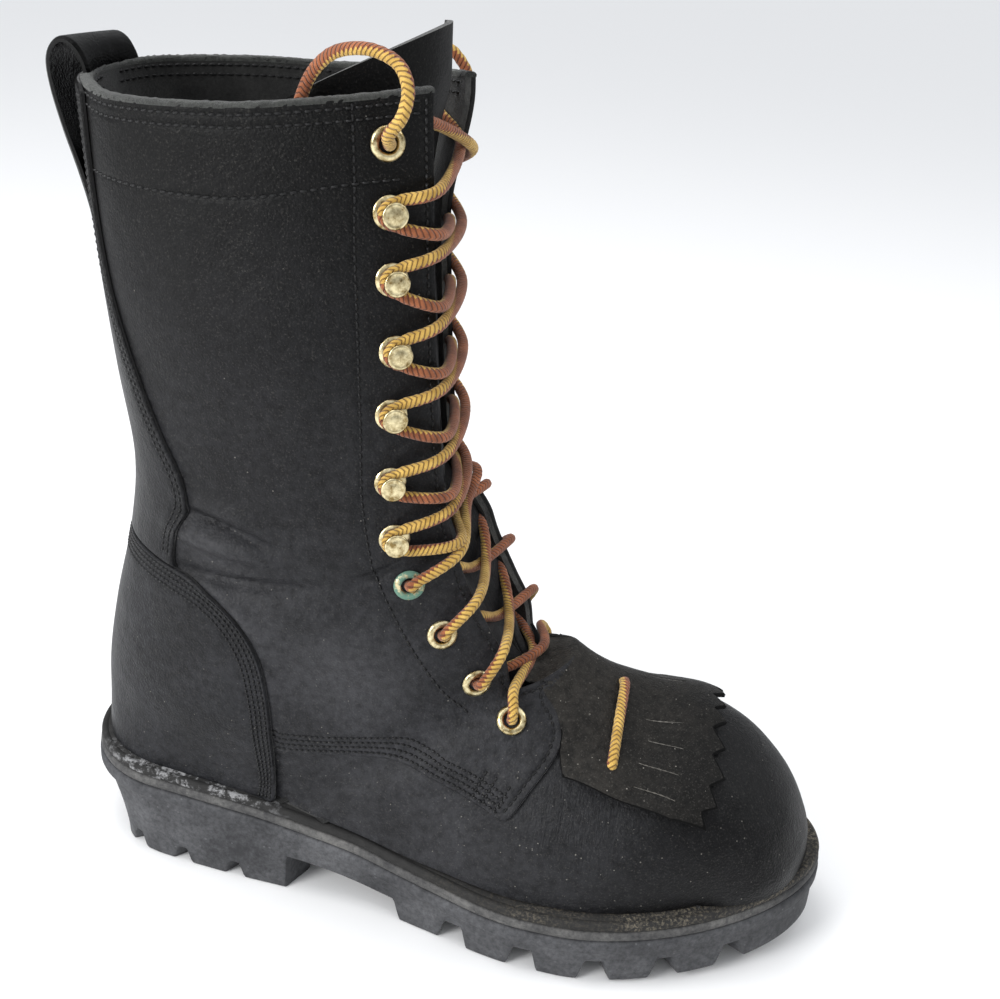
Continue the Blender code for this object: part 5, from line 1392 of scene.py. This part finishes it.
def cord_mesh(path, start_turn):
    """A braided round cord along a path: points, faces and, for each corner, round and along."""
    count = len(path)
    run = unit(np.gradient(path, axis=0))
    across = np.zeros_like(path)
    across[0] = unit(np.cross(run[0], (0.3, 0.2, 1.0)))
    for i in range(1, count):
        across[i] = unit(across[i - 1] - run[i] * np.dot(across[i - 1], run[i]))
    up = np.cross(run, across)
    length = run_length(path)
    angle = np.linspace(0.0, 2 * np.pi, LACE_SIDES, endpoint=False)
    weave = np.cos(BRAID_STRANDS * angle)[None, :] * np.cos(np.pi * length / BRAID_PITCH)[:, None]
    pinch = HOOK_PINCH * blend(6.5, 4.0, nearest(hook_rings, path))
    radius = LACE_RADIUS * (1 - BRAID_RELIEF + BRAID_RELIEF * weave) * (1 - pinch)[:, None]
    points = path[:, None, :] + radius[..., None] * (
        np.cos(angle)[None, :, None] * across[:, None, :] + np.sin(angle)[None, :, None] * up[:, None, :])
    faces = sheet_faces(count, LACE_SIDES, tube=True)
    around = list(np.tile((np.arange(LACE_SIDES)[:, None] + (0, 1, 1, 0)).ravel() / LACE_SIDES, count - 1))
    along = np.stack([length[:-1], length[:-1], length[1:], length[1:]], 1)
    along = list(np.repeat(along, LACE_SIDES, axis=0).ravel())
    for ring in (0, count - 1):
        cap = tuple(range(ring * LACE_SIDES, (ring + 1) * LACE_SIDES))
        faces.append(cap if ring else cap[::-1])
        around += [0.5] * LACE_SIDES
        along += [length[ring]] * LACE_SIDES
    return points.reshape(-1, 3), faces, np.array(around) + start_turn, np.array(along)


def braided_cord():
    """Gold yarn with a rust stripe that winds slowly round the cord, its edge a zigzag of stitches, with
    painted shade between the yarns.
    """
    material, tree, shader, place = new_material("gold_and_rust_braid")
    uv = node(tree, "SeparateXYZ", {"Vector": node(tree, "UVMap", {}, uv_map="braid").outputs["UV"]})
    around, along = uv.outputs["X"], uv.outputs["Y"]
    turn = reckon(tree, "ADD", reckon(tree, "MULTIPLY", along, 0.011), around)
    from_gold = reckon(tree, "SUBTRACT", reckon(tree, "FRACT", turn, 0.0), 0.5)
    off = reckon(tree, "ABSOLUTE", from_gold, 0.0)
    stitch = reckon(tree, "MULTIPLY", along, 1 / BRAID_PITCH)
    zigzag = reckon(tree, "MULTIPLY", reckon(tree, "PINGPONG", stitch, 0.5), 0.2)
    rust = reckon(tree, "GREATER_THAN", off, reckon(tree, "ADD", zigzag, 0.19))
    chevron = reckon(tree, "ADD", reckon(tree, "MULTIPLY", off, 4.0), stitch)
    yarn = span(tree, reckon(tree, "PINGPONG", chevron, 0.5), 0.0, 0.22)
    grime = span(tree, noise(tree, place, 170.0, 5.0), 0.35, 0.7)
    gold = mixed(tree, grime, (0.42, 0.25, 0.05), (0.66, 0.43, 0.11))
    russet = mixed(tree, grime, (0.2, 0.062, 0.024), (0.37, 0.125, 0.05))
    # painted shade in the grooves between the yarns, along the chevrons
    shade = mixed(tree, yarn, (0.36, 0.27, 0.22), (1.0, 1.0, 1.0))
    dress(tree, shader, {
        "Base Color": mixed(tree, 1.0, mixed(tree, rust, gold, russet), shade, "MULTIPLY"),
        "Normal": relief(tree, yarn, 1.0, 0.0004), "Roughness": 0.8, "Specular IOR Level": 0.25,
        "Sheen Weight": 0.2})
    return material


lace_braid = braided_cord()


def cord_piece(name, paths):
    """One piece of lace from one or more paths."""
    parts = [cord_mesh(path, 0.37 * k) for k, path in enumerate(paths)]
    points, faces = joined([(part[0], part[1]) for part in parts])
    mesh = bpy.data.meshes.new(name)
    mesh.from_pydata((points * MM).tolist(), [], faces)
    layer = mesh.uv_layers.new(name="braid")
    layer.data.foreach_set("uv", np.stack([np.concatenate([part[2] for part in parts]),
                                           np.concatenate([part[3] for part in parts])], 1).ravel())
    mesh.materials.append(lace_braid)
    mesh.shade_smooth()
    piece = bpy.data.objects.new(name, mesh)
    bpy.context.scene.collection.objects.link(piece)
    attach(piece, "root")
    return piece


throat_s = np.arange(COLLAR + 0.1, THROAT_END - 0.15, 0.03)
# heights of a strand's middle over the quarters and under the upper's wall
OVER, UNDER = PANEL_HIGH + LACE_RADIUS + 0.9, -WALL - LACE_RADIUS - 0.5
throat_sides = {side: {lift: lifted(throat_s, side * throat_edge(throat_s), lift) for lift in (OVER, UNDER)}
                for side in SIDE_NAMES}


def at_throat(side, lift, near):
    """The point of the throat's edge that lies nearest in side view."""
    places = throat_sides[side][lift]
    return places[np.argmin(np.linalg.norm((places - near)[:, [0, 2]], axis=1))]


def station_axes(side, number):
    """Place, normal, the way up the eyestay, the way to the throat and the kind at a station."""
    place, normal, kind = seats[side, number]
    other = number + 1 if number + 1 < len(STATIONS) else number - 1
    up = seats[side, max(number, other)][0] - seats[side, min(number, other)][0]
    up = unit(up - normal * np.dot(up, normal))
    toward = np.cross(up, normal)
    return place, normal, up, -side * np.sign(toward[1]) * toward, kind


def round_hook(side, number, throat, above):
    """Half a turn of lace round a hook, from behind it to where it runs straight for the throat."""
    place, normal, up, toward, _ = station_axes(side, number)
    ring = place + HOOK_HEIGHT * normal
    way = throat - ring
    way = unit(way - normal * np.dot(way, normal))
    off = np.cross(normal, way)
    off *= np.sign(np.dot(off, up)) * (1 if above else -1)
    return [ring - HOOK_TURN * toward, ring + HOOK_TURN * (0.71 * off - 0.71 * way), ring + HOOK_TURN * off,
            ring + HOOK_TURN * (0.95 * off + 0.9 * way)]


def leave(side, number, throat):
    """First points of a strand: out of an eyelet, or from behind a hook over its top."""
    place, normal, up, toward, kind = station_axes(side, number)
    if kind == "eyelet":
        return [place - 1.5 * normal, place + 2.2 * normal + 0.4 * toward,
                place + 4.6 * normal + 3.2 * toward + 2.2 * up]
    return round_hook(side, number, throat, True)


def arrive(side, number, throat):
    """Last points of a strand: up to an eyelet from inside, or under a hook and round behind it."""
    place, normal, _, toward, kind = station_axes(side, number)
    if kind == "eyelet":
        deep = PANEL_HIGH - UNDER
        return [place - deep * normal + 4.0 * toward, place - (deep - 0.6) * normal]
    return round_hook(side, number, throat, False)[::-1]


ridge_line = skin(np.arange(COLLAR, THROAT_END, 0.02), 0.0)


def crossing_middle(number, offset):
    """The point over the tongue where two strands cross."""
    middle = np.mean([seats[side, n][0] for side in SIDE_NAMES for n in (number, number + 1)], axis=0)
    ridge = ridge_line[np.argmin(np.linalg.norm((ridge_line - middle)[:, [0, 2]], axis=1))]
    forward = unit(ridge - middle)
    rise = seats[-1, number + 1][0] - seats[-1, number][0]
    rise[1] = 0.0
    along = TOP_RISE if number + 2 == len(STATIONS) else CROSS_RISE
    point = ridge + LACE_BULGES[number] * forward + along * unit(rise)
    point = point + CROSS_SHIFTS[number] * (at_throat(1, OVER, point) - point)
    return point + offset * forward


for number in range(len(STATIONS) - 1):
    strands = []
    for side in SIDE_NAMES:
        start, end = seats[side, number][0], seats[-side, number + 1][0]
        end_lift = UNDER if STATIONS[number + 1][2] == "eyelet" else OVER
        far_share = ARRIVE_SHARE[STATIONS[number + 1][2], -side]
        if number + 2 == len(STATIONS):
            far_share = TOP_SHARE[-side]
        over = at_throat(side, OVER, start + LEAVE_SHARE * (end - start))
        far = at_throat(-side, end_lift, end + far_share * (start - end))
        middle = crossing_middle(number, (side if number in FLIPPED else -side) * CROSS_CLEAR)
        bends = [over, middle, far]
        if CROSS_SHIFTS[number] > 0.5:
            bends = bends[:2] if side < 0 else bends[1:]
        strands.append(rounded(leave(side, number, over) + bends + arrive(-side, number + 1, far), 0.5))
    crossing = cord_piece(f"lace_crossing_{number + 1:02d}_cord", strands)
    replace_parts(crossing, f"lace_crossing_{number + 1:02d}")

# Lace ends: the two loose ends of the same braided cord. Each comes out of its top eyelet, arches
# over the collar and hangs down inside.
LACE_END_ROUTES = {
    -1: (
        (-21.0, -49.2, 303.2), (-15.8, -52.8, 309.7), (-14.3, -53.0, 317.6), (-18.3, -51.0, 324.2),
        (-28.0, -48.4, 327.2), (-39.4, -45.2, 325.4), (-47.4, -42.6, 319.3), (-52.0, -41.7, 310.6),
        (-54.0, -41.9, 301.0), (-54.6, -42.0, 292.0)),
    1: (
        (-23.5, 48.0, 303.0), (-22.3, 50.2, 308.6), (-24.5, 50.0, 315.0), (-30.0, 48.0, 321.0),
        (-38.0, 45.3, 322.6), (-45.5, 42.3, 318.2), (-50.4, 40.9, 310.4), (-52.6, 41.2, 301.0),
        (-53.4, 41.6, 292.0)),
}
for side, side_name in SIDE_NAMES.items():
    place, normal, _ = seats[side, len(STATIONS) - 1]
    end_route = np.vstack([place - 2.0 * normal, place + 2.6 * normal, LACE_END_ROUTES[side]])
    end_path = rounded(end_route, 0.5)
    lace_end = cord_piece(f"lace_end_{side_name}_cord", [end_path])
    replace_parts(lace_end, f"lace_end_{side_name}")

# Kiltie lace: a short bar of the same cord that lies across the flap. Its ends go down through two
# holes to hold the flap.
# its two holes, x and y, then points along it: share of the way and height over the flap
BAR_HOLES = np.array(((68.4, -31.5), (65.2, 6.0)))
BAR_POINTS = np.array((
    (0.0, -4.6), (0.035, -1.6), (0.1, 0.1), (0.25, 0.7), (0.5, 0.8), (0.75, 0.7), (0.9, 0.1),
    (0.965, -1.6), (1.0, -4.6)))
bar_s, bar_a = seen_from_above(BAR_HOLES[0] + BAR_POINTS[:, :1] * (BAR_HOLES[1] - BAR_HOLES[0]))
bar_places, bar_normals = skin_and_normal(bar_s, bar_a)
bar_lift = PANEL_HIGH + LACE_RADIUS + BAR_POINTS[:, 1]
bar = cord_piece("kiltie_lace_cord", [rounded(bar_places + bar_lift[:, None] * bar_normals, 0.5)])
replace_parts(bar, "kiltie_lace")
